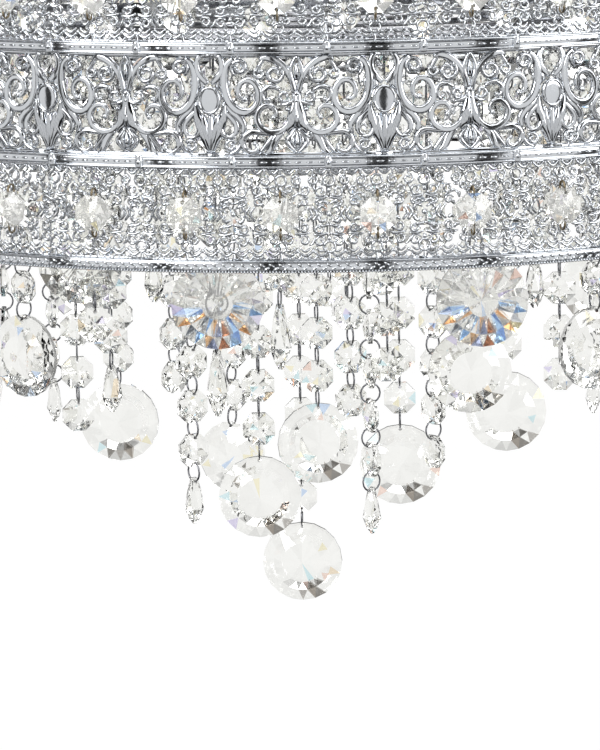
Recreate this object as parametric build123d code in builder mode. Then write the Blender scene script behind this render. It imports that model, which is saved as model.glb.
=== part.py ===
"""A small drum chandelier: three pierced metal bands, crystal strands, four candle lamps, a short chain.

Millimetres, +Z up. The origin is the middle of the crossbar's top face, where it meets the ceiling,
so the whole fixture hangs below zero. The front of the fixture faces -Y. An azimuth is measured
from the front, positive towards +X.
"""

from build123d import *
from math import cos, radians, sin
import os

# ---------------------------------------------------------------- driving dimensions
# Drum
drum_radius = 240.0  # outer face of the pierced bands
band_wall = 0.8  # sheet thickness of the pierced bands
lace_height = 36.4  # each fine lace band
scroll_height = 40.0  # the middle band of large scrolls
trim_height = 5.0  # the rope trim along the top and bottom edges
rim_height = 4.6  # the two rims that hold the bands together
rim_wall = 3.2  # radial thickness of rims and trims
rim_proud = 1.2  # how far rims and trims stand out past the bands
bead_count = 40  # crystal octagons round each lace band
bead_azimuth = 4.54  # of the bead nearest the front
motif_count = 22  # cabochons round the scroll band, with a stem between each two
motif_azimuth = 5.36  # of the cabochon nearest the front
cabochon_width = 9.3
cabochon_length = 11.1
cabochon_rise = 2.0  # of a cabochon's middle above the middle of the scroll band
cabochon_depth = 1.8
rivet_radius = 1.3
rivet_depth = 0.8
scroll_window_width = 18.0
scroll_window_height = 28.0
lace_window_width = 14.0
lace_window_height = 22.0

# Crystals and the wire that joins them
octagon_size = 14.0  # across the flats
octagon_depth = 6.4
girdle = 1.8  # thickness of a crystal's edge
crystal_hole = 1.7  # drilled hole, all crystals
hole_inset = 1.7  # from the hole's centre to the crystal's edge
disc_sizes = {"disc": 36.0, "burst": 38.0}
disc_depth = 10.0
disc_sides = 12
disc_table = 0.34  # the central facets' share of a disc's radius
drop_length = 20.0
drop_width = 9.0
drop_sides = 6
ring_radius = 4.25  # jump ring, to the middle of its wire
ring_wire = 0.8
pin_wire = 0.9  # the wire pins that hold the band beads

# Strand frame inside the drum
hoop_wire = 3.2
hoop_radii = (30.0, 62.0, 94.0, 126.0, 158.0, 190.0, 222.0)
spoke_count = 8
spoke_width = 3.0  # slim bars, so that the strands near a spoke hang clear of it
spoke_thickness = 3.0
spoke_inset = 0.8  # from a rim's lower face up to the spokes
hub_radius = 17.0
hub_height = 9.0

# Stem, stays and lamps
stem_radius = 6.0
stem_bore = 4.0
stem_length = 118.0
stud_length = 8.0
cap_radius = 15.0
cap_height = 12.0
stay_count = 4
stay_radius = 1.6
finial_radius = 9.0
finial_length = 20.0
lamp_count = 4
lamp_circle = 110.0
lamp_azimuth = 45.0
lamp_pad_radius = 9.0
lamp_stud_radius = 3.0
cup_radius = 21.0
cup_height = 7.0
cup_wall = 1.2
sleeve_radius = 11.5
sleeve_wall = 1.0
sleeve_length = 36.0
socket_radius = 9.0
socket_length = 30.0
socket_depth = 17.0
bulb_base_radius = 5.9
bulb_neck_radius = 8.0
bulb_radius = 14.0
bulb_length = 52.0  # of glass above the sleeve

# Chain and ceiling parts
link_wire = 3.2
link_length = 36.0
link_width = 22.0
link_count = 3
loop_wire = 3.6
loop_radius = 10.0  # to the middle of the wire
collar_radius = 11.0
collar_height = 14.0
canopy_radius = 65.0
canopy_height = 26.0
canopy_wall = 1.2
canopy_floor_radius = 20.0
canopy_skirt = 6.0
ceiling_gap = 0.4  # between the canopy's edge and the ceiling
crossbar_length = 108.0
crossbar_width = 18.0
crossbar_thickness = 2.0
screw_spacing = 88.9
screw_slot_length = 9.0
screw_slot_width = 4.6
nipple_radius = 5.0
nipple_bore = 3.5
nut_across = 15.0
nut_height = 4.0

# Clearances
chain_gap = 0.1  # between two links at rest
hook_gap = 0.1  # between a strand's top link and its hoop
bead_gap = 0.1  # between a bead's back and its band
bore_gap = 0.15  # round a shaft in a plain hole
bulb_gap = 0.3  # between a bulb's base and its socket

# ---------------------------------------------------------------- strands
# Hoop number, azimuth, octagons, extra length of the top link, end piece, the strand's turn from
# its hoop's own direction, and how much each crystal turns past the one above it.
moving_strands = {
    "strand_01": (4, -55.6, 6, 3.6, "disc", -20.0, 6.0),
    "strand_02": (3, -60.3, 9, 7.7, "octagon", 25.0, 6.0),
    "strand_03": (2, -85.0, 8, 9.9, "disc", 45.0, 4.0),
    "strand_04": (5, -13.7, 4, 4.7, "burst", 12.0, 0.0),
    "strand_05": (2, -18.4, 9, 10.2, "disc", 44.0, -3.0),
    "strand_06": (0, -22.0, 11, 14.7, "disc", 40.0, -2.0),
    "strand_07": (1, -3.5, 8, 11.1, "disc", 12.0, 0.0),
    "strand_08": (3, 8.3, 9, 17.7, "drop", 45.0, 8.0),
    "strand_09": (1, 32.0, 9, 4.0, "disc", -32.0, 0.0),
    "strand_10": (2, 29.7, 10, 3.8, "octagon", -40.0, -5.0),
    "strand_11": (5, 19.4, 4, 6.2, "burst", -15.0, 0.0),
    "strand_12": (2, 58.7, 8, 0.5, "disc", -42.0, -2.0),
    "strand_13": (4, 46.7, 6, 0.9, "disc", -36.0, 3.0),
}

# The strands of the rear half, which move with the drum and keep it in balance.
rear_strands = (
    (4, 124.4, 6, 3.6, "disc", -20.0, 6.0),
    (3, 119.7, 6, 7.7, "octagon", 25.0, 6.0),
    (2, 95.0, 5, 9.9, "octagon", 45.0, 4.0),
    (5, 166.3, 4, 4.7, "burst", 12.0, 0.0),
    (2, 161.6, 7, 10.2, "octagon", 44.0, -3.0),
    (0, 158.0, 7, 14.7, "octagon", 40.0, -2.0),
    (1, 176.5, 7, 11.1, "octagon", 12.0, 0.0),
    (3, 188.3, 6, 10.0, "octagon", 45.0, 8.0),
    (1, 212.0, 7, 4.0, "octagon", -32.0, 0.0),
    (2, 209.7, 6, 3.8, "octagon", -40.0, -5.0),
    (5, 199.4, 4, 6.2, "burst", -15.0, 0.0),
    (2, 238.7, 5, 0.5, "octagon", -42.0, -2.0),
    (4, 226.7, 6, 0.9, "disc", -36.0, 3.0),
    (4, 177.0, 5, 3.0, "disc", 20.0, 0.0),
    (5, 144.0, 4, 5.0, "disc", -15.0, 0.0),
    (5, 222.0, 3, 6.0, "octagon", 10.0, 0.0),
)

# ---------------------------------------------------------------- heights that follow
canopy_bottom = -canopy_height
collar_bottom = canopy_bottom - collar_height
loop_centre = collar_bottom - loop_radius + loop_wire / 4
link_reach = link_length - link_wire  # between the middles of a link's two end bends
link_radius = (link_width - link_wire) / 2  # of an end bend, to the middle of the wire

# Each link hangs over the wire of what is above it and turns about that wire's middle.
link_tops = [loop_centre - loop_radius + (loop_wire + link_wire) / 2 + chain_gap]
for _ in range(link_count - 1):
    link_tops.append(link_tops[-1] - link_reach + link_wire + chain_gap)
drum_loop_top = link_tops[-1] - link_reach + (link_wire + loop_wire) / 2 + chain_gap
drum_loop_centre = drum_loop_top - loop_radius
cap_top = drum_loop_centre - loop_radius + loop_wire / 4
stem_top = cap_top - cap_height
hub_top = stem_top - stem_length
spoke_bottom = hub_top - hub_height
spoke_top = spoke_bottom + spoke_thickness
hoop_height = spoke_bottom - hoop_wire / 2

upper_rim_bottom = spoke_bottom - spoke_inset
scroll_bottom = upper_rim_bottom - scroll_height
lower_rim_bottom = scroll_bottom - rim_height
lower_lace_bottom = lower_rim_bottom - lace_height
drum_bottom = lower_lace_bottom - trim_height
upper_lace_bottom = upper_rim_bottom + rim_height
top_trim_bottom = upper_lace_bottom + lace_height
rim_outer = drum_radius + rim_proud
rim_inner = rim_outer - rim_wall

octagon_reach = octagon_size / 2 - hole_inset
bead_circle = drum_radius + octagon_depth / 2 + bead_gap
bead_heights = [lower_lace_bottom + lace_height / 2, upper_lace_bottom + lace_height / 2]
cup_floor = spoke_top + cup_wall
sleeve_top = cup_floor + sleeve_length
socket_top = cup_floor + socket_length

os.makedirs("parts", exist_ok=True)


def save(builder, name):
    builder.part.label = name
    export_step(builder.part, f"parts/{name}.step")


def at_azimuth(azimuth, radius, height, turn=0.0):
    """A place on the drum whose own -Y looks outwards at that azimuth, plus a turn."""
    x = radius * sin(radians(azimuth))
    y = -radius * cos(radians(azimuth))
    return Location((x, y, height), (0, 0, azimuth + turn))


# ---------------------------------------------------------------- ceiling parts, which stay still
with BuildPart() as ceiling_crossbar:
    with BuildSketch(Plane.XY.offset(-crossbar_thickness)):
        SlotOverall(crossbar_length, crossbar_width)
        Circle(nipple_radius + bore_gap, mode=Mode.SUBTRACT)
        with Locations((-screw_spacing / 2, 0), (screw_spacing / 2, 0)):
            SlotOverall(screw_slot_length, screw_slot_width, mode=Mode.SUBTRACT)
    extrude(amount=crossbar_thickness)
save(ceiling_crossbar, "ceiling_crossbar")

canopy_shoulder = canopy_radius - canopy_floor_radius  # across the canopy's curved slope
canopy_slope = canopy_height - canopy_skirt
with BuildPart() as canopy:
    with BuildSketch(Plane.XZ):
        with BuildLine():
            Line((0, canopy_bottom), (canopy_floor_radius, canopy_bottom))
            ThreePointArc(
                (canopy_floor_radius, canopy_bottom),
                (canopy_radius - 0.33 * canopy_shoulder, canopy_bottom + 0.36 * canopy_slope),
                (canopy_radius, -canopy_skirt),
            )
            Polyline(
                (canopy_radius, -canopy_skirt),
                (canopy_radius, -ceiling_gap),
                (0, -ceiling_gap),
                (0, canopy_bottom),
            )
        make_face()
    revolve(axis=Axis.Z)
    offset(amount=-canopy_wall, openings=canopy.faces().sort_by(Axis.Z)[-1])
    with BuildSketch(Plane.XY.offset(canopy_bottom)):
        Circle(nipple_radius + bore_gap)
    extrude(amount=canopy_wall * 2, mode=Mode.SUBTRACT)
save(canopy, "canopy")

nut_top = -crossbar_thickness
with BuildPart() as canopy_locknut:
    with BuildSketch(Plane.XY.offset(nut_top - nut_height)):
        RegularPolygon(nut_across / 2, 6, major_radius=False)
        Circle(nipple_radius, mode=Mode.SUBTRACT)
    extrude(amount=nut_height)
save(canopy_locknut, "canopy_locknut")

nipple_bottom = collar_bottom + collar_height / 3
with BuildPart() as canopy_nipple:
    with BuildSketch(Plane.XY.offset(nipple_bottom)):
        Circle(nipple_radius)
        Circle(nipple_bore, mode=Mode.SUBTRACT)
    extrude(amount=-nipple_bottom)
save(canopy_nipple, "canopy_nipple")

with BuildPart() as collar_loop:
    with BuildSketch(Plane.XY.offset(collar_bottom)) as collar_outline:
        Circle(collar_radius)
    extrude(amount=collar_height)
    fillet(collar_loop.edges().group_by(Axis.Z)[0], radius=collar_height / 4)
    with Locations((0, 0, loop_centre)):
        Torus(loop_radius, loop_wire / 2, rotation=(90, 0, 0))
    with BuildSketch(Plane.XY.offset(nipple_bottom)):
        Circle(nipple_radius)
    extrude(amount=canopy_bottom - nipple_bottom, mode=Mode.SUBTRACT)
save(collar_loop, "collar_loop")

# ---------------------------------------------------------------- chain
link_straight = (link_reach - 2 * link_radius) / 2
with BuildPart() as chain_link:
    with BuildLine(Plane.YZ) as link_line:
        Line((link_radius, -link_straight), (link_radius, link_straight))
        ThreePointArc(
            (link_radius, link_straight),
            (0, link_straight + link_radius),
            (-link_radius, link_straight),
        )
        Line((-link_radius, link_straight), (-link_radius, -link_straight))
        ThreePointArc(
            (-link_radius, -link_straight),
            (0, -link_straight - link_radius),
            (link_radius, -link_straight),
        )
    with BuildSketch(Plane((0, link_radius, 0))):
        Circle(link_wire / 2)
    sweep(path=link_line.wire())

for number, top in enumerate(link_tops):
    with BuildPart() as placed_link:
        with Locations(Location((0, 0, top - link_reach / 2), (0, 0, 90 * number))):
            add(chain_link.part)
    save(placed_link, f"chain_link_{number + 1}")

# ---------------------------------------------------------------- stem, stays and finial
# The last link lies as the first does when the links are an odd number.
loop_turn = 90 * (link_count - 1)
with BuildPart() as drum_loop:
    with BuildSketch(Plane.XY.offset(stem_top)):
        Circle(cap_radius)
    extrude(amount=cap_height)
    fillet(drum_loop.edges().group_by(Axis.Z)[-1], radius=cap_height / 3)
    with Locations(Location((0, 0, drum_loop_centre), (0, 0, loop_turn))):
        Torus(loop_radius, loop_wire / 2, rotation=(90, 0, 0))
    with BuildSketch(Plane.XY.offset(stem_top - stud_length)):
        Circle(stem_bore)
    extrude(amount=stud_length)
save(drum_loop, "drum_loop")

with BuildPart() as centre_stem:
    with BuildSketch(Plane.XY.offset(hub_top)):
        Circle(stem_radius)
        Circle(stem_bore, mode=Mode.SUBTRACT)
    extrude(amount=stem_length)
save(centre_stem, "centre_stem")

stay_rise = (stem_top + cap_height / 2) - (top_trim_bottom + trim_height / 2)
with BuildPart() as stay_rods:
    for corner in range(stay_count):
        azimuth = corner * 360 / stay_count
        outer_end = at_azimuth(azimuth, rim_inner + stay_radius, top_trim_bottom + trim_height / 2)
        inner_end = at_azimuth(azimuth, 0, outer_end.position.Z + stay_rise)
        slope = inner_end.position - outer_end.position
        with BuildSketch(Plane(origin=outer_end.position, z_dir=slope)):
            Circle(stay_radius)
        extrude(amount=slope.length)
    with BuildSketch(Plane.XY.offset(stem_top - cap_height)):
        Circle(cap_radius)
    extrude(amount=3 * cap_height, mode=Mode.SUBTRACT)
    with BuildSketch(Plane.XY.offset(drum_bottom)):
        Circle(rim_inner)
    extrude(amount=-drum_bottom, mode=Mode.INTERSECT)
save(stay_rods, "stay_rods")

with BuildPart() as stem_finial:
    with BuildSketch(Plane.XZ):
        with BuildLine():
            Polyline(
                (0, spoke_bottom - finial_length),
                (0, hub_top + stud_length),
                (stem_bore, hub_top + stud_length),
                (stem_bore, spoke_bottom),
                (finial_radius, spoke_bottom),
            )
            Spline(
                (finial_radius, spoke_bottom),
                (finial_radius * 0.5, spoke_bottom - finial_length * 0.3),
                (finial_radius * 0.72, spoke_bottom - finial_length * 0.6),
                (0, spoke_bottom - finial_length),
            )
        make_face()
    revolve(axis=Axis.Z)
save(stem_finial, "stem_finial")

# ---------------------------------------------------------------- spider and hoops
with BuildPart() as spider:
    with BuildSketch(Plane.XY.offset(spoke_bottom)):
        with PolarLocations(0, spoke_count):
            Rectangle(rim_outer, spoke_width, align=(Align.MIN, Align.CENTER))
        with PolarLocations(lamp_circle, lamp_count, start_angle=lamp_azimuth):
            Circle(lamp_pad_radius)
        Circle(rim_inner, mode=Mode.INTERSECT)
        with PolarLocations(lamp_circle, lamp_count, start_angle=lamp_azimuth):
            Circle(lamp_stud_radius, mode=Mode.SUBTRACT)
    extrude(amount=spoke_thickness)
    with BuildSketch(Plane.XY.offset(spoke_bottom)):
        Circle(hub_radius)
    extrude(amount=hub_height)
    with BuildSketch(Plane.XY.offset(spoke_bottom)):
        Circle(stem_bore)
    extrude(amount=hub_height, mode=Mode.SUBTRACT)
save(spider, "spider")

with BuildPart() as strand_hoops:
    for radius in hoop_radii:
        with Locations((0, 0, hoop_height)):
            Torus(radius, hoop_wire / 2)
save(strand_hoops, "strand_hoops")

# ---------------------------------------------------------------- drum bands
def build_hoop_band(name, bottom, height):
    with BuildPart() as band:
        with BuildSketch(Plane.XY.offset(bottom)):
            Circle(rim_outer)
            Circle(rim_inner, mode=Mode.SUBTRACT)
        extrude(amount=height)
    save(band, name)


build_hoop_band("bottom_trim", drum_bottom, trim_height)
build_hoop_band("lower_rim", lower_rim_bottom, rim_height)
build_hoop_band("upper_rim", upper_rim_bottom, rim_height)
build_hoop_band("top_trim", top_trim_bottom, trim_height)

with BuildPart() as lace_cutter:
    with BuildSketch(Plane.XZ.offset(drum_radius - 2 * band_wall)):
        Rectangle(lace_window_width, lace_window_height)
    extrude(amount=3 * band_wall)

with BuildPart() as scroll_cutter:
    with BuildSketch(Plane.XZ.offset(drum_radius - 2 * band_wall)):
        Rectangle(scroll_window_width, scroll_window_height)
    extrude(amount=3 * band_wall)


def build_pierced_band(name, bottom, height, cutter, count, first_azimuth):
    with BuildPart() as band:
        with BuildSketch(Plane.XY.offset(bottom)):
            Circle(drum_radius)
            Circle(drum_radius - band_wall, mode=Mode.SUBTRACT)
        extrude(amount=height)
        places = [
            Location((0, 0, bottom + height / 2), (0, 0, first_azimuth + step * 360 / count))
            for step in range(count)
        ]
        with Locations(*places):
            add(cutter.part, mode=Mode.SUBTRACT)
    save(band, name)


between_beads = bead_azimuth + 180 / bead_count
build_pierced_band(
    "lower_lace_band", lower_lace_bottom, lace_height, lace_cutter, bead_count, between_beads
)
build_pierced_band(
    "upper_lace_band", upper_lace_bottom, lace_height, lace_cutter, bead_count, between_beads
)
build_pierced_band(
    "scroll_band",
    scroll_bottom,
    scroll_height,
    scroll_cutter,
    2 * motif_count,
    motif_azimuth + 90 / motif_count,
)

with BuildPart() as cabochon:
    with BuildSketch(Plane.XZ.offset(drum_radius)):
        Ellipse(cabochon_width / 2, cabochon_length / 2)
    extrude(amount=cabochon_depth)
    fillet(cabochon.edges().sort_by(Axis.Y)[0], radius=cabochon_depth * 0.7)

with BuildPart() as cabochons:
    middle = scroll_bottom + scroll_height / 2 + cabochon_rise
    turns = [motif_azimuth + step * 360 / motif_count for step in range(motif_count)]
    add([cabochon.part.moved(Location((0, 0, middle), (0, 0, turn))) for turn in turns], clean=False)
save(cabochons, "cabochons")

with BuildPart() as rivet:
    with BuildSketch(Plane.XZ.offset(rim_outer)):
        Circle(rivet_radius)
    extrude(amount=rivet_depth)

with BuildPart() as rim_rivets:
    rivet_places = [
        Location((0, 0, bottom + rim_height / 2), (0, 0, between_beads + step * 360 / bead_count))
        for bottom in (lower_rim_bottom, upper_rim_bottom)
        for step in range(bead_count)
    ]
    add([rivet.part.moved(place) for place in rivet_places], clean=False)
save(rim_rivets, "rim_rivets")

# ---------------------------------------------------------------- crystals and wire
# Each crystal stands upright with its flat sides towards -Y and +Y and its middle at zero.
with BuildPart() as octagon:
    with BuildSketch(Plane.XZ.offset(girdle / 2)) as octagon_face:
        RegularPolygon(octagon_size / 2, 8, major_radius=False, rotation=22.5)
    loft([octagon_face.sketch.face(), Vertex(0, -octagon_depth / 2, 0)])
    extrude(amount=-girdle / 2)
    mirror(about=Plane.XZ)
    with BuildSketch(Plane.XZ):
        with Locations((0, octagon_reach), (0, -octagon_reach)):
            Circle(crystal_hole / 2)
    extrude(amount=octagon_depth, both=True, mode=Mode.SUBTRACT)


def build_disc(size):
    """A round crystal: a ring of long facets round a low faceted middle, with one hole."""
    table_plane = Plane.XZ.offset(disc_depth / 2 * 0.85)
    with BuildPart() as disc:
        with BuildSketch(Plane.XZ.offset(girdle / 2)) as edge_face:
            RegularPolygon(size / 2, disc_sides)
        with BuildSketch(table_plane) as table_face:
            RegularPolygon(size / 2 * disc_table, disc_sides)
        loft(ruled=True)
        loft([table_face.sketch.face(), Vertex(0, -disc_depth / 2, 0)])
        extrude(edge_face.sketch, amount=-girdle / 2)
        mirror(about=Plane.XZ)
        with BuildSketch(Plane.XZ):
            with Locations((0, size / 2 - hole_inset)):
                Circle(crystal_hole / 2)
        extrude(amount=disc_depth, both=True, mode=Mode.SUBTRACT)
    return disc.part


# A faceted drop: a narrow drilled neck, its widest at two thirds down, and a blunt point.
drop_sections = (
    (drop_length / 2, hole_inset),
    (-drop_length / 6, drop_width / 2),
    (-drop_length / 2, drop_width / 8),
)
with BuildPart() as drop:
    for height, radius in drop_sections:
        with BuildSketch(Plane.XY.offset(height)):
            RegularPolygon(radius, drop_sides)
    loft(ruled=True)
    with BuildSketch(Plane.XZ):
        with Locations((0, drop_length / 2 - hole_inset)):
            Circle(crystal_hole / 2)
    extrude(amount=drop_width, both=True, mode=Mode.SUBTRACT)

end_parts = {name: build_disc(size) for name, size in disc_sizes.items()}
end_reach = {name: size / 2 - hole_inset for name, size in disc_sizes.items()}
end_parts["drop"] = drop.part
end_reach["drop"] = drop_length / 2 - hole_inset

with BuildPart() as jump_ring:
    Torus(ring_radius, ring_wire / 2, rotation=(0, 90, 0))


def build_top_link(stretch):
    """The wire link over a hoop: a jump ring drawn out by the stretch, its upper bend at zero."""
    with BuildPart() as link:
        with BuildLine(Plane.YZ) as line:
            Line((ring_radius, -stretch), (ring_radius, 0))
            ThreePointArc((ring_radius, 0), (0, ring_radius), (-ring_radius, 0))
            Line((-ring_radius, 0), (-ring_radius, -stretch))
            ThreePointArc((-ring_radius, -stretch), (0, -ring_radius - stretch), (ring_radius, -stretch))
        with BuildSketch(Plane((0, ring_radius, 0))):
            Circle(ring_wire / 2)
        sweep(path=line.wire())
    return link.part


def strand_pieces(strand):
    """Every crystal and every wire link of one strand, each moved to its place."""
    hoop, azimuth, beads, stretch, end, turn, twist = strand
    radius = hoop_radii[hoop]
    height = hoop_height + hoop_wire / 2 + hook_gap + ring_wire / 2 - ring_radius
    links = [build_top_link(stretch).moved(at_azimuth(azimuth, radius, height, turn))]
    crystals = []
    height -= stretch + ring_radius + octagon_reach
    for bead in range(beads):
        facing = turn + bead * twist
        crystals.append(octagon.part.moved(at_azimuth(azimuth, radius, height, facing)))
        ring_height = height - octagon_reach - ring_radius
        if bead < beads - 1 or end != "octagon":
            place = at_azimuth(azimuth, radius, ring_height, facing + twist / 2)
            links.append(jump_ring.part.moved(place))
        height = ring_height - ring_radius - octagon_reach
    if end != "octagon":
        hang = ring_height - ring_radius - end_reach[end]
        place = at_azimuth(azimuth, radius, hang, turn + beads * twist)
        crystals.append(end_parts[end].moved(place))
    return crystals, links


def build_strands(name, strands):
    crystals, links = [], []
    for strand in strands:
        new_crystals, new_links = strand_pieces(strand)
        crystals += new_crystals
        links += new_links
    with BuildPart() as crystal_group:
        add(crystals, clean=False)
    save(crystal_group, f"{name}_crystals")
    with BuildPart() as link_group:
        add(links, clean=False)
    save(link_group, f"{name}_links")


for name, strand in moving_strands.items():
    build_strands(name, [strand])
build_strands("rear_strands", rear_strands)

# ---------------------------------------------------------------- beads pinned to the lace bands
bead_turns = [bead_azimuth + step * 360 / bead_count for step in range(bead_count)]
with BuildPart() as band_beads:
    places = [at_azimuth(turn, bead_circle, height) for height in bead_heights for turn in bead_turns]
    add([octagon.part.moved(place) for place in places], clean=False)
save(band_beads, "band_beads")

pin_length = octagon_depth + bead_gap
with BuildPart() as pin:
    with BuildSketch(Plane.XZ.offset(drum_radius)):
        Circle(pin_wire / 2)
    extrude(amount=pin_length)

with BuildPart() as bead_pins:
    pin_heights = [height + side * octagon_reach for height in bead_heights for side in (-1, 1)]
    places = [Location((0, 0, height), (0, 0, turn)) for height in pin_heights for turn in bead_turns]
    add([pin.part.moved(place) for place in places], clean=False)
save(bead_pins, "bead_pins")

# ---------------------------------------------------------------- lamps
lamp_places = [
    at_azimuth(lamp_azimuth + step * 360 / lamp_count, lamp_circle, 0) for step in range(lamp_count)
]


def save_lamp_part(template, name):
    with BuildPart() as group:
        with Locations(*lamp_places):
            add(template.part)
    save(group, name)


with BuildPart() as lamp_cup:
    with BuildSketch(Plane.XZ):
        with BuildLine():
            Polyline(
                (lamp_stud_radius, spoke_top),
                (sleeve_radius + cup_wall, spoke_top),
                (cup_radius, spoke_top + cup_height),
                (cup_radius - cup_wall, spoke_top + cup_height),
                (sleeve_radius, cup_floor),
                (lamp_stud_radius, cup_floor),
                close=True,
            )
        make_face()
    revolve(axis=Axis.Z)
save_lamp_part(lamp_cup, "lamp_cups")

with BuildPart() as lamp_socket:
    with BuildSketch(Plane.XY.offset(cup_floor)):
        Circle(socket_radius)
    extrude(amount=socket_length)
    with BuildSketch(Plane.XY.offset(spoke_bottom)):
        Circle(lamp_stud_radius)
    extrude(amount=cup_floor - spoke_bottom)
    with BuildSketch(Plane.XY.offset(socket_top - socket_depth)):
        Circle(bulb_base_radius + bulb_gap)
    extrude(amount=socket_depth, mode=Mode.SUBTRACT)
save_lamp_part(lamp_socket, "lamp_sockets")

with BuildPart() as candle_sleeve:
    with BuildSketch(Plane.XY.offset(cup_floor)):
        Circle(sleeve_radius)
        Circle(sleeve_radius - sleeve_wall, mode=Mode.SUBTRACT)
    extrude(amount=sleeve_length)
save_lamp_part(candle_sleeve, "candle_sleeves")

with BuildPart() as bulb:
    with BuildSketch(Plane.XZ):
        with BuildLine():
            Polyline(
                (0, sleeve_top + bulb_length),
                (0, socket_top - socket_depth),
                (bulb_base_radius, socket_top - socket_depth),
                (bulb_base_radius, socket_top),
                (bulb_neck_radius, socket_top + bulb_gap),
                (bulb_neck_radius, sleeve_top),
            )
            Spline(
                (bulb_neck_radius, sleeve_top),
                (bulb_radius, sleeve_top + bulb_length * 0.33),
                (bulb_radius * 0.35, sleeve_top + bulb_length * 0.8),
                (0, sleeve_top + bulb_length),
            )
        make_face()
    revolve(axis=Axis.Z)
save_lamp_part(bulb, "bulbs")
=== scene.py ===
"""Looks of the small drum chandelier: pierced chrome bands, cut crystal, bent wire, lamps and stage.

Lengths named _mm are millimetres; everything Blender holds is in metres. An azimuth is measured
from the front of the drum (-Y), positive towards +X, as it is in the part's own source.
"""

from math import cos, pi, radians, sin

import bmesh
import bpy
import numpy as np
from bpy.props import FloatProperty, FloatVectorProperty, IntProperty, PointerProperty
from mathutils import Matrix, Vector


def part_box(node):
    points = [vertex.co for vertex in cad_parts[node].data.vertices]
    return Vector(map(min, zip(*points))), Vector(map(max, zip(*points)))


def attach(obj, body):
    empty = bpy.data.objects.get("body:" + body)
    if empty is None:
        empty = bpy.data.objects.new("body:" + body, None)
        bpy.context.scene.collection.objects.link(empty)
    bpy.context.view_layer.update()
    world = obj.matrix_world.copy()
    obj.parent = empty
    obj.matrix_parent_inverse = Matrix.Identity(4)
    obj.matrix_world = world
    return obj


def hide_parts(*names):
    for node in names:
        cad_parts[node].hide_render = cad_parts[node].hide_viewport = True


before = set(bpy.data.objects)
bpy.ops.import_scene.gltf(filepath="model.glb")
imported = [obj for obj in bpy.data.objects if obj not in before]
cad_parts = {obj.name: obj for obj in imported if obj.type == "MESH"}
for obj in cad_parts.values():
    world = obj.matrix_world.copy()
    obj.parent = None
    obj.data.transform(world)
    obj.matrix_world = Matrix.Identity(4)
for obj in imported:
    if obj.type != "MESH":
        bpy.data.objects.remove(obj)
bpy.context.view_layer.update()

bl_info = {
    "name": "Drum chandelier",
    "version": (1, 0, 0),
    "blender": (4, 5, 0),
    "location": "View3D > Sidebar > Chandelier",
    "description": "Builds the pierced bands, crystal strands and finishes of a small drum chandelier",
    "category": "Object",
}

MM = 0.001


def box_mm(node):
    """A node's lowest and highest corner in millimetres."""
    low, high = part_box(node)
    return [v / MM for v in low], [v / MM for v in high]


def linear(hex_color):
    """An sRGB hex colour such as "#c0c4c8" as linear RGB."""
    values = [int(hex_color[i : i + 2], 16) / 255 for i in (1, 3, 5)]
    return tuple(v / 12.92 if v <= 0.04045 else ((v + 0.055) / 1.055) ** 2.4 for v in values)


# ------------------------------------------------------------------ sizes taken from the frame
drum_radius_mm = box_mm("lower_lace_band")[1][0]
hoop_wire_mm = box_mm("strand_hoops")[1][2] - box_mm("strand_hoops")[0][2]
hoop_height_mm = (box_mm("strand_hoops")[1][2] + box_mm("strand_hoops")[0][2]) / 2
bead_count = 40
bead_azimuth = 4.54
motif_count = 22
motif_azimuth = 5.36
rim_dashes = 330
trim_ropes = 400
scroll_sheet_mm = 1.4
lace_sheet_mm = 0.8
bead_gap_mm = 0.1
pin_loop_mm = 2.2
pin_wire_mm = 0.9
pin_stand_off_mm = 1.6
curtain_levels = 6
curtain_stagger_mm = 3.0
curtain_azimuth = 1.7

octagon_size_mm = 14.0
octagon_depth_mm = 6.4
girdle_mm = 1.8
hole_mm = 1.7
hole_inset_mm = 1.7
disc_depth_mm = 10.0
drop_width_mm = 9.0
prism_width_mm = 9.5
crystal_lengths_mm = {"disc": 36.0, "burst": 38.0, "small_disc": 32.0, "drop": 20.0, "prism": 28.0}
crystal_lengths_mm["octagon"] = octagon_size_mm
# A disc's table as a share of its radius, its sides and the height of its ridges.
disc_cuts = {"disc": (0.5, 20, 0.0), "burst": (0.34, 24, 0.2), "small_disc": (0.45, 20, 0.0)}
ring_radius_mm = 4.25
ring_wire_mm = 0.8
hook_gap_mm = 0.1
sink_mark_mm = 7.0
pebble_mm = 0.6
skin_depth_mm = 0.05
frost_patch_mm = 1.2
octagon_reach_mm = octagon_size_mm / 2 - hole_inset_mm

# Hoop, azimuth, octagons, extra length of the top link, end piece, turn and turn per crystal.
hoop_radii_mm = (30.0, 62.0, 94.0, 126.0, 158.0, 190.0, 222.0)
moving_strands = {
    "strand_01": (4, -55.6, 6, 3.6, "disc", -20.0, 6.0),
    "strand_02": (3, -60.3, 9, 7.7, "octagon", 25.0, 6.0),
    "strand_03": (2, -85.0, 8, 9.9, "disc", 45.0, 4.0),
    "strand_04": (5, -13.7, 4, 4.7, "burst", 12.0, 0.0),
    "strand_05": (2, -18.4, 9, 10.2, "disc", 44.0, -3.0),
    "strand_06": (0, -22.0, 11, 14.7, "disc", 40.0, -2.0),
    "strand_07": (1, -3.5, 8, 11.1, "disc", 12.0, 0.0),
    "strand_08": (3, 8.3, 9, 17.7, "drop", 45.0, 8.0),
    "strand_09": (1, 32.0, 9, 4.0, "disc", -32.0, 0.0),
    "strand_10": (2, 29.7, 10, 3.8, "octagon", -40.0, -5.0),
    "strand_11": (5, 19.4, 4, 6.2, "burst", -15.0, 0.0),
    "strand_12": (2, 58.7, 8, 0.5, "disc", -42.0, -2.0),
    "strand_13": (4, 46.7, 6, 0.9, "disc", -36.0, 3.0),
}
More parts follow.
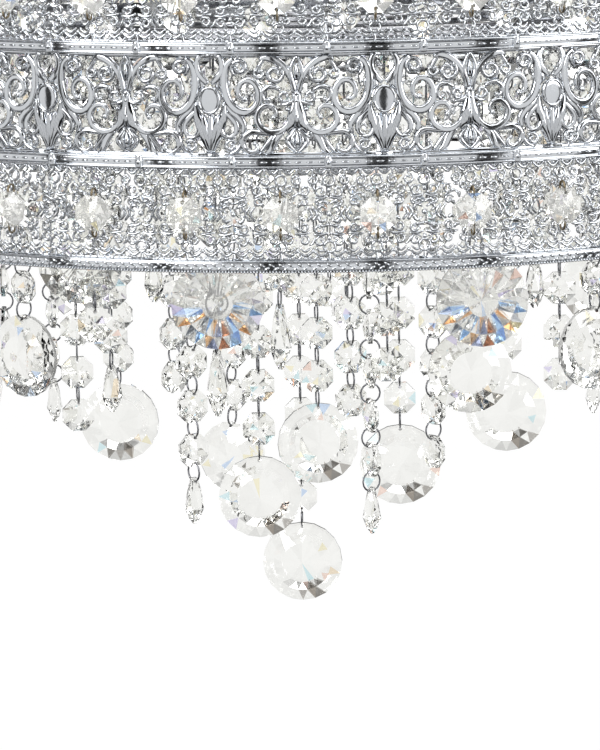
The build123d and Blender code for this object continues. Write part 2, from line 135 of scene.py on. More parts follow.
rear_strands = [
    (4, 124.4, 6, 3.6, "disc", -20.0, 6.0),
    (3, 119.7, 6, 7.7, "octagon", 25.0, 6.0),
    (2, 95.0, 5, 9.9, "octagon", 45.0, 4.0),
    (5, 166.3, 4, 4.7, "burst", 12.0, 0.0),
    (2, 161.6, 7, 10.2, "octagon", 44.0, -3.0),
    (0, 158.0, 7, 14.7, "octagon", 40.0, -2.0),
    (1, 176.5, 7, 11.1, "octagon", 12.0, 0.0),
    (3, 188.3, 6, 10.0, "octagon", 45.0, 8.0),
    (1, 212.0, 7, 4.0, "octagon", -32.0, 0.0),
    (2, 209.7, 6, 3.8, "octagon", -40.0, -5.0),
    (5, 199.4, 4, 6.2, "burst", -15.0, 0.0),
    (2, 238.7, 5, 0.5, "octagon", -42.0, -2.0),
    (4, 226.7, 6, 0.9, "disc", -36.0, 3.0),
    (4, 177.0, 5, 3.0, "disc", 20.0, 0.0),
    (5, 144.0, 4, 5.0, "disc", -15.0, 0.0),
    (5, 222.0, 3, 6.0, "octagon", 10.0, 0.0),
]
still_front_strands = [
    (5, -32.4, 3, 9.8, "disc", 20.0, 0.0),
    (6, -25.1, 6, 3.0, "octagon", 15.0, 4.0),
    (4, -35.3, 7, 0.6, "drop", 30.0, 0.0),
    (5, -21.9, 4, 4.1, "drop", 0.0, 0.0),
    (2, -44.9, 8, 9.6, "octagon", 44.0, 6.0),
    (3, -27.3, 9, 14.8, "drop", 45.0, 2.0),
    (4, -17.0, 6, 10.3, "prism", 10.0, 0.0),
    (1, -42.4, 9, 2.7, "small_disc", 0.0, 2.0),
    (3, -9.0, 5, 14.5, "prism", 0.0, 0.0),
    (2, 6.4, 8, 16.7, "octagon", 0.0, 2.0),
    (4, 9.0, 7, 9.7, "octagon", -9.0, 0.0),
    (3, 29.1, 6, 10.0, "disc", -25.0, 0.0),
    (5, 26.6, 4, 9.9, "drop", 0.0, 0.0),
    (3, 54.4, 8, 10.0, "octagon", -44.0, -2.0),
]
still_side_strands = [
    (3, 78.0, 5, 6.0, "octagon", 20.0, 3.0),
    (3, 98.0, 8, 12.0, "drop", -20.0, 0.0),
    (4, 72.0, 7, 5.0, "disc", 30.0, 0.0),
    (4, 92.0, 7, 12.0, "octagon", 0.0, 4.0),
    (4, 109.0, 7, 2.0, "disc", -20.0, 0.0),
    (5, 49.0, 5, 4.0, "octagon", 10.0, 3.0),
    (5, 64.0, 4, 9.0, "burst", -20.0, 0.0),
    (5, 80.0, 5, 12.0, "drop", 0.0, 0.0),
    (5, 97.0, 4, 3.0, "disc", 15.0, 0.0),
    (5, 114.0, 5, 8.0, "octagon", 30.0, 3.0),
    (6, 58.0, 5, 6.0, "octagon", 0.0, 4.0),
    (6, 88.0, 5, 12.0, "drop", 20.0, 0.0),
    (6, 118.0, 5, 2.0, "octagon", 0.0, -4.0),
]


# ------------------------------------------------------------------ meshes from flat relief work
def smooth_line(points, samples, closed=False):
    """Samples along a Catmull-Rom curve through the points, which are (along, up)."""
    points = np.asarray(points, float)
    if closed:
        padded = np.vstack([points[-1], points, points[0], points[1]])
        spans = len(points)
    else:
        first = 2 * points[0] - points[1]
        last = 2 * points[-1] - points[-2]
        padded = np.vstack([first, points, last])
        spans = len(points) - 1
    steps = np.linspace(0, spans, samples, endpoint=not closed)
    span = np.minimum(steps.astype(int), spans - 1)
    t = (steps - span)[:, None]
    a, b, c, d = (padded[span + k] for k in range(4))
    return 0.5 * (2 * b + (c - a) * t + (2 * a - 5 * b + 4 * c - d) * t**2 + (3 * b - a - 3 * c + d) * t**3)


def curl_points(across, up, radius, start, sweep, shrink=0.35, samples=14):
    """Points of a scroll that winds inwards from start through sweep degrees."""
    t = np.linspace(0, 1, samples)
    angle = np.radians(start + sweep * t)
    reach = radius * (1 + (shrink - 1) * t)
    return np.stack([across + reach * np.cos(angle), up + reach * np.sin(angle)], 1)


class Relief:
    """Solid shapes pressed up from a sheet, drawn flat as (along, rise, up), in millimetres."""

    def __init__(self, spread=1.0):
        self.parts, self.spread = [], spread

    def add(self, verts, faces):
        """Keeps one closed solid, turned so that its faces look outwards once it is on the drum."""
        tris = np.array([(f[0], f[k], f[k + 1]) for f in faces for k in range(1, len(f) - 1)])
        solid = verts * (1, -1, 1)
        a, b, c = (solid[tris[:, k]] for k in range(3))
        if np.einsum("ij,ij->i", a, np.cross(b, c)).sum() < 0:
            faces = [f[::-1] for f in faces]
        self.parts.append((verts, faces))

    def stroke(self, line, widths, rise, samples=16, front=5, closed=False, back=0.5, lift=0.0, groove=0.0):
        """A rounded ridge along a line, with a width that changes on its way and maybe a groove in it."""
        path = smooth_line(line, samples, closed)
        width = np.interp(np.linspace(0, 1, samples), np.linspace(0, 1, len(widths)), widths) * self.spread
        if closed:
            run = np.roll(path, -1, 0) - np.roll(path, 1, 0)
        else:
            run = np.gradient(path, axis=0)
        side = np.stack([-run[:, 1], run[:, 0]], 1) / np.linalg.norm(run, axis=1)[:, None]
        t = np.linspace(-pi / 2, pi / 2, front)
        across = np.append(np.sin(t), (1, -1))
        crown = np.cos(t) * (1 - groove * np.exp(-((np.sin(t) / 0.4) ** 2)))
        height = np.append(crown, (0, 0))
        depth = np.append(np.zeros(front), (back, back))
        full = rise * np.sqrt(width / width.max())
        flat = path[:, None, :] + side[:, None, :] * (width[:, None] / 2 * across)[:, :, None]
        up = full[:, None] * height - depth + lift
        verts = np.stack([flat[..., 0], up, flat[..., 1]], -1).reshape(-1, 3)
        ring = front + 2
        count = samples if closed else samples - 1
        faces = []
        for i in range(count):
            here, there = i * ring, (i + 1) % samples * ring
            for j in range(ring):
                k = (j + 1) % ring
                faces.append((here + j, here + k, there + k, there + j))
        if not closed:
            last = (samples - 1) * ring
            faces.append(tuple(range(ring - 1, -1, -1)))
            faces.append(tuple(range(last, last + ring)))
        self.add(verts, faces)

    def curl(self, across, up, radius, start, sweep, width, rise, shrink=0.35, samples=16, taper=0.6):
        """A scroll with a small round knob at its inner end."""
        line = curl_points(across, up, radius, start, sweep, shrink)
        self.stroke(line, (width * taper, width, width * 0.8), rise, samples)
        self.boss(line[-1][0], line[-1][1], width * 0.62, width * 0.62, rise * 1.15)

    def boss(self, across, up, half_width, half_height, rise, sides=8, rings=3, turn=0.0, back=0.5, lift=0.0):
        """A domed knob with an oval outline."""
        verts = []
        c, s = cos(radians(turn)), sin(radians(turn))
        slopes = [k * pi / 2 / rings for k in range(rings)]
        levels = [(1.0, -back)] + [(cos(slope), rise * sin(slope)) for slope in slopes]
        for share, level in levels:
            for k in range(sides):
                a = 2 * pi * k / sides
                x, z = half_width * share * cos(a), half_height * share * sin(a)
                verts.append((across + x * c - z * s, level + lift, up + x * s + z * c))
        verts.append((across, rise + lift, up))
        faces = [tuple(range(sides - 1, -1, -1))]
        for level in range(rings):
            for k in range(sides):
                n = (k + 1) % sides
                a, b = level * sides, (level + 1) * sides
                faces.append((a + k, a + n, b + n, b + k))
        top = rings * sides
        faces += [(top + k, top + (k + 1) % sides, len(verts) - 1) for k in range(sides)]
        self.add(np.array(verts), faces)

    def mirror(self, about=0.0):
        """Adds a copy of everything so far, mirrored left to right."""
        for verts, faces in list(self.parts):
            flipped = verts.copy()
            flipped[:, 0] = 2 * about - flipped[:, 0]
            self.parts.append((flipped, [f[::-1] for f in faces]))

    def arrays(self):
        """All the solids as one vertex array and one list of faces."""
        verts, faces, start = [], [], 0
        for part_verts, part_faces in self.parts:
            verts.append(part_verts)
            faces += [tuple(v + start for v in f) for f in part_faces]
            start += len(part_verts)
        return np.vstack(verts), faces


def mesh_object(name, verts_mm, faces, material, smooth=True):
    """A mesh object in millimetre coordinates, at the origin, with its material and shading."""
    lengths = np.fromiter((len(f) for f in faces), np.int32, len(faces))
    corners = np.fromiter((v for f in faces for v in f), np.int32, int(lengths.sum()))
    return mesh_from_arrays(name, verts_mm, corners, lengths, material, smooth)


def mesh_from_arrays(name, verts_mm, corners, lengths, material, smooth=True):
    mesh = bpy.data.meshes.new(name)
    mesh.vertices.add(len(verts_mm))
    mesh.vertices.foreach_set("co", (np.asarray(verts_mm, np.float32) * MM).ravel())
    mesh.loops.add(len(corners))
    mesh.loops.foreach_set("vertex_index", corners)
    mesh.polygons.add(len(lengths))
    starts = np.concatenate([[0], np.cumsum(lengths)[:-1]]).astype(np.int32)
    mesh.polygons.foreach_set("loop_start", starts)
    mesh.polygons.foreach_set("use_smooth", np.full(len(lengths), smooth))
    mesh.update(calc_edges=True)
    mesh.validate()
    mesh.materials.append(material)
    piece = bpy.data.objects.new(name, mesh)
    bpy.context.scene.collection.objects.link(piece)
    return piece


def wrap(name, relief, radius_mm, azimuths, middle_mm, material, body="drum"):
    """Bends a flat relief round the drum once for each azimuth."""
    verts, faces = relief.arrays()
    lengths = np.array([len(f) for f in faces], np.int32)
    corners = np.array([v for f in faces for v in f], np.int32)
    all_verts, all_corners = [], []
    for number, azimuth in enumerate(azimuths):
        angle = radians(azimuth) + verts[:, 0] / radius_mm
        reach = radius_mm + verts[:, 1]
        placed = np.stack([reach * np.sin(angle), -reach * np.cos(angle), middle_mm + verts[:, 2]], 1)
        all_verts.append(placed)
        all_corners.append(corners + number * len(verts))
    piece = mesh_from_arrays(
        name, np.vstack(all_verts), np.concatenate(all_corners), np.tile(lengths, len(azimuths)), material
    )
    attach(piece, body)
    return piece


def quarters(count, first):
    """The azimuths of count equal steps round the drum, in four runs."""
    turns = [first + step * 360 / count for step in range(count)]
    size = -(-count // 4)
    return [turns[k : k + size] for k in range(0, count, size)]


# ------------------------------------------------------------------ materials
def add_node(tree, kind, inputs=None, links=None, **settings):
    """Adds a shader node, sets its properties and inputs, and links sockets into it."""
    node = tree.nodes.new(kind)
    for key, value in settings.items():
        setattr(node, key, value)
    for key, value in (inputs or {}).items():
        node.inputs[key].default_value = value
    for key, socket in (links or {}).items():
        tree.links.new(socket, node.inputs[key])
    return node


def new_material(name):
    """An empty node material and its output node."""
    material = bpy.data.materials.new(name)
    material.use_nodes = True
    material.node_tree.nodes.clear()
    return material, material.node_tree, material.node_tree.nodes.new("ShaderNodeOutputMaterial")


def metal_material(name, color, rough, wear_mm, bump_mm, spread=0.3, shade=0.12):
    """A metal whose polish and tone drift a little over patches of wear_mm."""
    material, tree, output = new_material(name)
    place = add_node(tree, "ShaderNodeTexCoord")
    patches = add_node(
        tree,
        "ShaderNodeTexNoise",
        {"Scale": 1 / (wear_mm * MM), "Detail": 4.0},
        {"Vector": place.outputs["Object"]},
    )
    roughness = add_node(
        tree,
        "ShaderNodeMapRange",
        {"From Min": 0.3, "From Max": 0.7, "To Min": rough * (1 - spread), "To Max": rough * (1 + spread)},
        {"Value": patches.outputs["Fac"]},
    )
    tone = add_node(
        tree,
        "ShaderNodeMix",
        {6: (*[c * (1 - shade) for c in color], 1), 7: (*color, 1)},
        {0: patches.outputs["Fac"]},
        data_type="RGBA",
    )
    ripples = add_node(
        tree,
        "ShaderNodeTexNoise",
        {"Scale": 3 / (wear_mm * MM), "Detail": 2.0},
        {"Vector": place.outputs["Object"]},
    )
    bump = add_node(
        tree,
        "ShaderNodeBump",
        {"Strength": 0.6, "Distance": bump_mm * MM},
        {"Height": ripples.outputs["Fac"]},
    )
    shader = add_node(
        tree,
        "ShaderNodeBsdfPrincipled",
        {"Metallic": 1.0},
        {"Base Color": tone.outputs[2], "Roughness": roughness.outputs[0], "Normal": bump.outputs[0]},
    )
    tree.links.new(shader.outputs[0], output.inputs[0])
    return material


def chrome_plate(settings):
    """Bright chrome plated on pressed steel: a hard mirror with faint press ripples."""
    return metal_material("pressed_chrome_plate", tuple(settings.chrome_color), 0.07, 6.0, 0.02)


def chrome_tube(settings):
    """Polished chrome on turned steel: a cleaner mirror, rubbed dull in places by handling."""
    return metal_material("polished_chrome", tuple(settings.chrome_color), 0.1, 18.0, 0.01)


def nickel_wire(settings):
    """Drawn nickel-plated wire: darker than chrome, with a satin sheen along its draw marks."""
    return metal_material("nickel_wire", tuple(settings.wire_color), 0.22, 2.5, 0.01)


def brass_wire(settings):
    """Annealed brass wire, gone brown in patches."""
    return metal_material("aged_brass_wire", tuple(settings.brass_color), 0.32, 2.0, 0.02, shade=0.4)


def zinc_plate():
    """Zinc-plated steel stamping: pale, slightly blue, with cloudy passivation."""
    return metal_material("zinc_plated_steel", linear("#b4b8ba"), 0.38, 9.0, 0.02, spread=0.4)


def crystal_glass(name="cut_crystal", clearness=1.0):
    """Cut and polished crystal: clear and bright, its base colour carrying the painted fire and painted shade
    of its facets; a silvered back makes it less clear.
    """
    material, tree, output = new_material(name)
    # The facets' base colour is painted fire and painted shade, standing in for dispersion and dark
    # reflections.
    painted_fire_and_shade = add_node(tree, "ShaderNodeAttribute", attribute_name="painted_fire_and_shade")
    shader = add_node(
        tree,
        "ShaderNodeBsdfPrincipled",
        {"Roughness": 0.025, "IOR": 1.54, "Transmission Weight": clearness},
        {"Base Color": painted_fire_and_shade.outputs["Color"]},
    )
    tree.links.new(shader.outputs[0], output.inputs[0])
    return material


# ------------------------------------------------------------------ cut crystals
def prism_rings(rings, ends):
    """Faces between rings of equal count, closed by a point or a flat at each end."""
    verts, faces = [], []
    sides = len(rings[0])
    for ring in rings:
        verts += ring
    for level in range(len(rings) - 1):
        for k in range(sides):
            n = (k + 1) % sides
            a, b = level * sides, (level + 1) * sides
            faces.append((a + k, a + n, b + n, b + k))
    for ring_number, end in zip((0, len(rings) - 1), ends):
        base = ring_number * sides
        if end is None:
            loop = [base + k for k in range(sides)]
            faces.append(tuple(loop if ring_number else loop[::-1]))
        else:
            verts.append(end)
            for k in range(sides):
                n = (k + 1) % sides
                corner = (base + k, base + n) if ring_number else (base + n, base + k)
                faces.append((*corner, len(verts) - 1))
    return verts, faces


def ring_of(radius, level, sides, turn=0.0):
    """Points round a crystal whose faces look towards -Y and +Y."""
    return [
        (radius * cos(2 * pi * (k + turn) / sides), level, radius * sin(2 * pi * (k + turn) / sides))
        for k in range(sides)
    ]


def octagon_shape():
    corner = octagon_size_mm / 2 / cos(pi / 8)
    half, edge = octagon_depth_mm / 2, girdle_mm / 2
    verts = ring_of(corner, -edge, 8, 0.5) + ring_of(corner, edge, 8, 0.5)
    inner = corner * 0.52
    verts += ring_of(inner, -edge - (half - edge) * 0.6, 8, 0.0)
    verts += ring_of(inner, edge + (half - edge) * 0.6, 8, 0.0)
    verts += [(0, -half, 0), (0, half, 0)]
    faces = []
    for k in range(8):
        n = (k + 1) % 8
        faces.append((k, n, 8 + n, 8 + k))
        for outer, star, apex in ((0, 16, 32), (8, 24, 33)):
            triangles = [
                (outer + k, outer + n, star + n), (star + k, star + n, outer + k), (star + k, star + n, apex)
            ]
            faces += triangles
    return verts, faces


def disc_shape(size_mm, table, sides, ridge):
    """A round crystal: long facets from the rim to a low faceted table, alike on both sides."""
    radius, half, edge = size_mm / 2, disc_depth_mm / 2, girdle_mm / 2
    level = edge + (half - edge) * 0.82

    def side(sign):
        rim = ring_of(radius, sign * edge, sides)
        middle = []
        for k, point in enumerate(ring_of(radius * 0.72, 0, sides, 0.5)):
            rise = edge + (level - edge) * (0.5 + (ridge if k % 2 else -ridge))
            middle.append((point[0], sign * rise, point[2]))
        flat = ring_of(radius * table, sign * level, sides)
        return rim, middle, flat, (0, sign * half, 0)

    verts, faces = [], []
    for sign in (-1, 1):
        rim, middle, flat, apex = side(sign)
        base = len(verts)
        verts += rim + middle + flat + [apex]
        for k in range(sides):
            n = (k + 1) % sides
            rim_k, rim_n = base + k, base + n
            mid_k, mid_n = base + sides + k, base + sides + n
            flat_k, flat_n = base + 2 * sides + k, base + 2 * sides + n
            faces += [(rim_k, rim_n, mid_k), (mid_k, rim_n, mid_n)]
            faces += [(mid_k, flat_n, flat_k), (mid_k, mid_n, flat_n)]
            faces.append((flat_k, flat_n, base + 3 * sides))
    far = 3 * sides + 1
    for k in range(sides):
        n = (k + 1) % sides
        faces.append((k, n, far + n, far + k))
    return verts, faces


def drop_shape(length_mm, width_mm, sides=8, widest=-1 / 6):
    """A hanging drop or prism: a drilled neck, its widest below the middle, and a blunt point."""
    half = length_mm / 2
    levels = (
        (half, hole_inset_mm * 0.9),
        (half * 0.45, width_mm * 0.36),
        (half * widest * 2, width_mm / 2),
        (-half * 0.75, width_mm * 0.3),
        (-half, width_mm / 10),
    )
    rings = []
    for number, (level, radius) in enumerate(levels):
        turn = number % 2 / 2
        points = [2 * pi * (k + turn) / sides for k in range(sides)]
        rings.append([(radius * cos(a), radius * 0.8 * sin(a), level) for a in points])
    return prism_rings(rings, (None, None))


def drilled(shape, hole_heights, depth_mm):
    """The crystal as a solid with its holes cut through it from front to back."""
    verts, faces = shape
    work = bmesh.new()
    points = [work.verts.new(v) for v in verts]
    for face in faces:
        work.faces.new([points[k] for k in face])
    bmesh.ops.recalc_face_normals(work, faces=work.faces)
    body = bpy.data.meshes.new("crystal_blank")
    work.to_mesh(body)
    work.clear()
    for height in hole_heights:
        turned = Matrix.Translation((0, 0, height)) @ Matrix.Rotation(pi / 2, 4, "X")
        radius = hole_mm / 2
        bmesh.ops.create_cone(
            work, cap_ends=True, segments=10, radius1=radius, radius2=radius, depth=depth_mm * 2,
            matrix=turned,
        )
    drill = bpy.data.meshes.new("crystal_drill")
    work.to_mesh(drill)
    work.free()
    blank_object = bpy.data.objects.new("crystal_blank", body)
    drill_object = bpy.data.objects.new("crystal_drill", drill)
    for thing in (blank_object, drill_object):
        bpy.context.scene.collection.objects.link(thing)
    cut = blank_object.modifiers.new("drill", "BOOLEAN")
    cut.operation = "DIFFERENCE"
    cut.object = drill_object
    cut.solver = "EXACT"
    view = bpy.context.evaluated_depsgraph_get()
    result = bpy.data.meshes.new_from_object(blank_object.evaluated_get(view))
    made = np.array([v.co[:] for v in result.vertices])
    made_faces = [tuple(p.vertices) for p in result.polygons]
    for thing in (blank_object, drill_object):
        bpy.data.objects.remove(thing)
    for mesh in (body, drill, result):
        bpy.data.meshes.remove(mesh)
    if len(made) <= len(verts):
        raise RuntimeError("a crystal's hole wasn't cut")
    return made, made_faces


def end_reach(kind):
    """From a crystal's middle to its upper hole."""
    return crystal_lengths_mm[kind] / 2 - hole_inset_mm


crystal_blanks = {}


def crystal_blank(kind):
    """A drilled crystal of one kind, made once."""
    if kind not in crystal_blanks:
        reach, length = end_reach(kind), crystal_lengths_mm[kind]
        if kind == "octagon":
            made = drilled(octagon_shape(), (reach, -reach), octagon_depth_mm)
        elif kind in disc_cuts:
            made = drilled(disc_shape(length, *disc_cuts[kind]), (reach,), disc_depth_mm)
        elif kind == "drop":
            made = drilled(drop_shape(length, drop_width_mm), (reach,), drop_width_mm)
        else:
            made = drilled(drop_shape(length, prism_width_mm, 6), (reach,), prism_width_mm)
        crystal_blanks[kind] = made
    return crystal_blanks[kind]


def wire_loop(radius_mm, wire_mm, stretch_mm=0.0, around=16, sides=6):
    """A closed loop of round wire in the YZ plane, its upper bend about the origin."""
    angles = [2 * pi * k / around for k in range(around)]
    verts, faces = [], []
    for a in angles:
        drop = -stretch_mm if sin(a) < -1e-6 else 0.0
        for k in range(sides):
            b = 2 * pi * k / sides
            reach = radius_mm + wire_mm / 2 * cos(b)
            verts.append((wire_mm / 2 * sin(b), reach * cos(a), reach * sin(a) + drop))
    for i in range(around):
        for j in range(sides):
            n, m = (i + 1) % around, (j + 1) % sides
            faces.append((i * sides + j, i * sides + m, n * sides + m, n * sides + j))
    return np.array(verts), faces


def at_azimuth(azimuth, radius_mm, height_mm, turn=0.0):
    """A place on the drum whose own -Y looks outwards at that azimuth, plus a turn."""
    a = radians(azimuth)
    spot = Matrix.Translation((radius_mm * sin(a), -radius_mm * cos(a), height_mm))
    return spot @ Matrix.Rotation(radians(azimuth + turn), 4, "Z")


class Gathering:
    """Collects placed copies of small solids into one mesh."""

    def __init__(self):
        self.verts, self.faces, self.count, self.painted_tints = [], [], 0, []

    def place(self, shape, matrix, painted_tints=None):
        verts, faces = shape
        m = np.array(matrix)
        self.verts.append(verts @ m[:3, :3].T + m[:3, 3])
        self.faces += [tuple(v + self.count for v in f) for f in faces]
        self.count += len(verts)
        self.painted_tints += painted_tints or [None] * len(faces)

    def build(self, name, material, body, smooth):
        piece = mesh_object(name, np.vstack(self.verts), self.faces, material, smooth)
        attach(piece, body)
        return piece


# Painted fire: spectral tints painted onto facets in place of real dispersion.
painted_fire_colors = [linear(h) for h in ("#a9c4ee", "#ecd2ac", "#b6dfe8", "#e8bfae", "#c6bce8", "#eee3b4")]
clear_color = linear("#f6f6f3")
# Painted fire and painted dark reflections for the facets round a burst's foot.
# An empty string leaves a facet clear.
painted_fire_and_shade_facets = [
    linear(h) if h else None
    for h in (
        "#7fa2dc", "", "#dca878", "", "#8d9299", "", "#9dc2ee", "", "#e2bc94", "#9aa2bc", "", "#b98468", "",
        "#b2d2f4",
    )
]
# Painted dark reflections for the facets low on one side of a disc.
painted_shade_facets = [linear(h) if h else None for h in ("#8e8b86", "", "#b4b1ac", "", "#9f988f", "")]
# Painted grey shade on every disc's girdle.
painted_girdle_shade = linear("#a4a4a2")


def painted_facet_light(kind, azimuth):
    """Painted colour and shade for the facets of a large disc: painted dark reflections low on one side,
    painted fire and shade all round a burst's foot, and painted grey shade on the girdle.
    """
    verts, faces = crystal_blank(kind)
    painted_tints = []
    radius = crystal_lengths_mm["disc"] / 2
    first, sweep, inner = (190, 170, 0.3) if kind == "burst" else (195 + (azimuth * 37) % 110, 50, 0.62)
    colors = painted_fire_and_shade_facets if kind == "burst" else painted_shade_facets
    for face in faces:
        across, _, up = np.mean([verts[v] for v in face], 0)
        angle = np.degrees(np.arctan2(up, across)) % 360
        distance = np.hypot(across, up) / radius
        inside = inner < distance < 0.98 and 0 < (angle - first) % 360 < sweep
        tint = colors[int(angle / 7.5 + distance * 3) % len(colors)] if inside else None
        # The girdle gets painted grey shade; facets inside the sweep get painted fire or painted dark
        # reflections.
        painted_tints.append(painted_girdle_shade if distance >= 0.98 else tint)
    return painted_tints


def paint_fire_and_shade(piece, share, seed, painted_tints=()):
    """Paints spectral fire onto facets in place of dispersion: a few at random, and the given painted fire
    and shade ones.
    """
    mesh = piece.data
    rng = np.random.default_rng(seed)
    count = len(mesh.polygons)
    colors = np.ones((count, 4))
    fire_painted = rng.random(count) < share
    picks = rng.integers(0, len(painted_fire_colors), count)
    colors[fire_painted, :3] = np.array(painted_fire_colors)[picks[fire_painted]]
    colors[~fire_painted, :3] = np.array(clear_color) * (1.0 - 0.04 * rng.random((int((~fire_painted).sum()), 1)))
    for number, tint in enumerate(painted_tints):
        if tint is not None:
            colors[number, :3] = tint
    lengths = np.zeros(count, np.int32)
    mesh.polygons.foreach_get("loop_total", lengths)
    # Stored as the painted fire and shade colour that the crystal material reads.
    layer = mesh.color_attributes.new("painted_fire_and_shade", "FLOAT_COLOR", "CORNER")
    layer.data.foreach_set("color", np.repeat(colors, lengths, 0).ravel())


def lay_strand(strand, crystals, links, bursts):
    """Places one strand's crystals, its burst disc if it has one, and its wire links from its hoop down."""
    hoop, azimuth, beads, stretch, end, turn, twist = strand
    radius = hoop_radii_mm[hoop]
    height = hoop_height_mm + hoop_wire_mm / 2 + hook_gap_mm + ring_wire_mm / 2 - ring_radius_mm
    link = wire_loop(ring_radius_mm, ring_wire_mm, stretch)
    ring = wire_loop(ring_radius_mm, ring_wire_mm)
    links.place(link, at_azimuth(azimuth, radius, height, turn))
    height -= stretch + ring_radius_mm + octagon_reach_mm
    for bead in range(beads):
        facing = turn + bead * twist
        crystals.place(crystal_blank("octagon"), at_azimuth(azimuth, radius, height, facing))
        ring_height = height - octagon_reach_mm - ring_radius_mm
        if bead < beads - 1 or end != "octagon":
            links.place(ring, at_azimuth(azimuth, radius, ring_height, facing + twist / 2))
        height = ring_height - ring_radius_mm - octagon_reach_mm
    if end != "octagon":
        hang = ring_height - ring_radius_mm - end_reach(end)
        # Painted fire and painted shade for a disc's facets.
        painted_tints = painted_facet_light(end, azimuth) if end in disc_cuts else None
        gathering = bursts if end == "burst" else crystals
        gathering.place(crystal_blank(end), at_azimuth(azimuth, radius, hang, turn + beads * twist), painted_tints)


def build_bursts(bursts, name, body, share, seed):
    """The burst discs of a group, in glass whose back is partly silvered."""
    if bursts.count:
        glass = finish_of("backed", lambda: crystal_glass("silver_backed_crystal", 0.78))
        piece = bursts.build(f"{name}_burst_discs", glass, body, False)
        paint_fire_and_shade(piece, share, seed, bursts.painted_tints)


def string_strands(strands, stem, body, seed, burst_seed):
    """The crystals, burst discs and wire links of some strands, as pieces of one body."""
    settings = bpy.context.scene.strand_settings
    glass = finish_of("crystal", crystal_glass)
    wire = finish_of("wire", lambda: nickel_wire(bpy.context.scene.drum_settings))
    crystals, links, bursts = Gathering(), Gathering(), Gathering()
    for strand in strands:
        lay_strand(strand, crystals, links, bursts)
    stones = crystals.build(f"{stem}_cut", glass, body, False)
    paint_fire_and_shade(stones, settings.painted_fire_share, seed, crystals.painted_tints)
    build_bursts(bursts, stem, body, settings.painted_fire_share, burst_seed)
    rings = links.build(f"{stem}_wire", wire, body, True)
    return stones, rings


def mirrored(strand):
    """The same strand on the other side of the drum's middle."""
    return (strand[0], -strand[1], *strand[2:5], -strand[5], -strand[6])


# ------------------------------------------------------------------ settings shown in the panel
class DrumSettings(bpy.types.PropertyGroup):
    """Finishes and relief of the drum."""

    chrome_color: FloatVectorProperty(
        name="Chrome", description="Tone of the chrome plate", subtype="COLOR", default=linear("#d3d6da")
    )
    wire_color: FloatVectorProperty(
        name="Wire", description="Tone of the jump rings", subtype="COLOR", default=linear("#85868a")
    )
    brass_color: FloatVectorProperty(
        name="Pin wire", description="Tone of the wire that holds the beads", subtype="COLOR",
        default=linear("#94866e")
    )
    scroll_rise: FloatProperty(
        name="Scroll relief", description="How far the large scrolls stand up", default=1.5 * MM,
        unit="LENGTH"
    )
    lace_rise: FloatProperty(
        name="Lace relief", description="How far the fine lace stands up", default=0.8 * MM, unit="LENGTH"
    )


class StrandSettings(bpy.types.PropertyGroup):
    """Crystals and curtain."""

    # Share of facets given a painted spectral fire.
    painted_fire_share: FloatProperty(
        name="Fire", description="Share of facets with a spectral tint", default=0.025, min=0, max=1,
        subtype="FACTOR"
    )
    curtain_strings: IntProperty(
        name="Curtain strings", description="Short strings close behind the bands", default=44, min=0
    )
    curtain_radius: FloatProperty(
        name="Curtain radius", description="How far out the curtain hangs", default=228.0 * MM, unit="LENGTH"
    )


def finish_of(name, maker):
    """A material made once and shared by every piece that has it."""
    if name not in finishes:
        finishes[name] = maker()
    return finishes[name]


finishes = {}


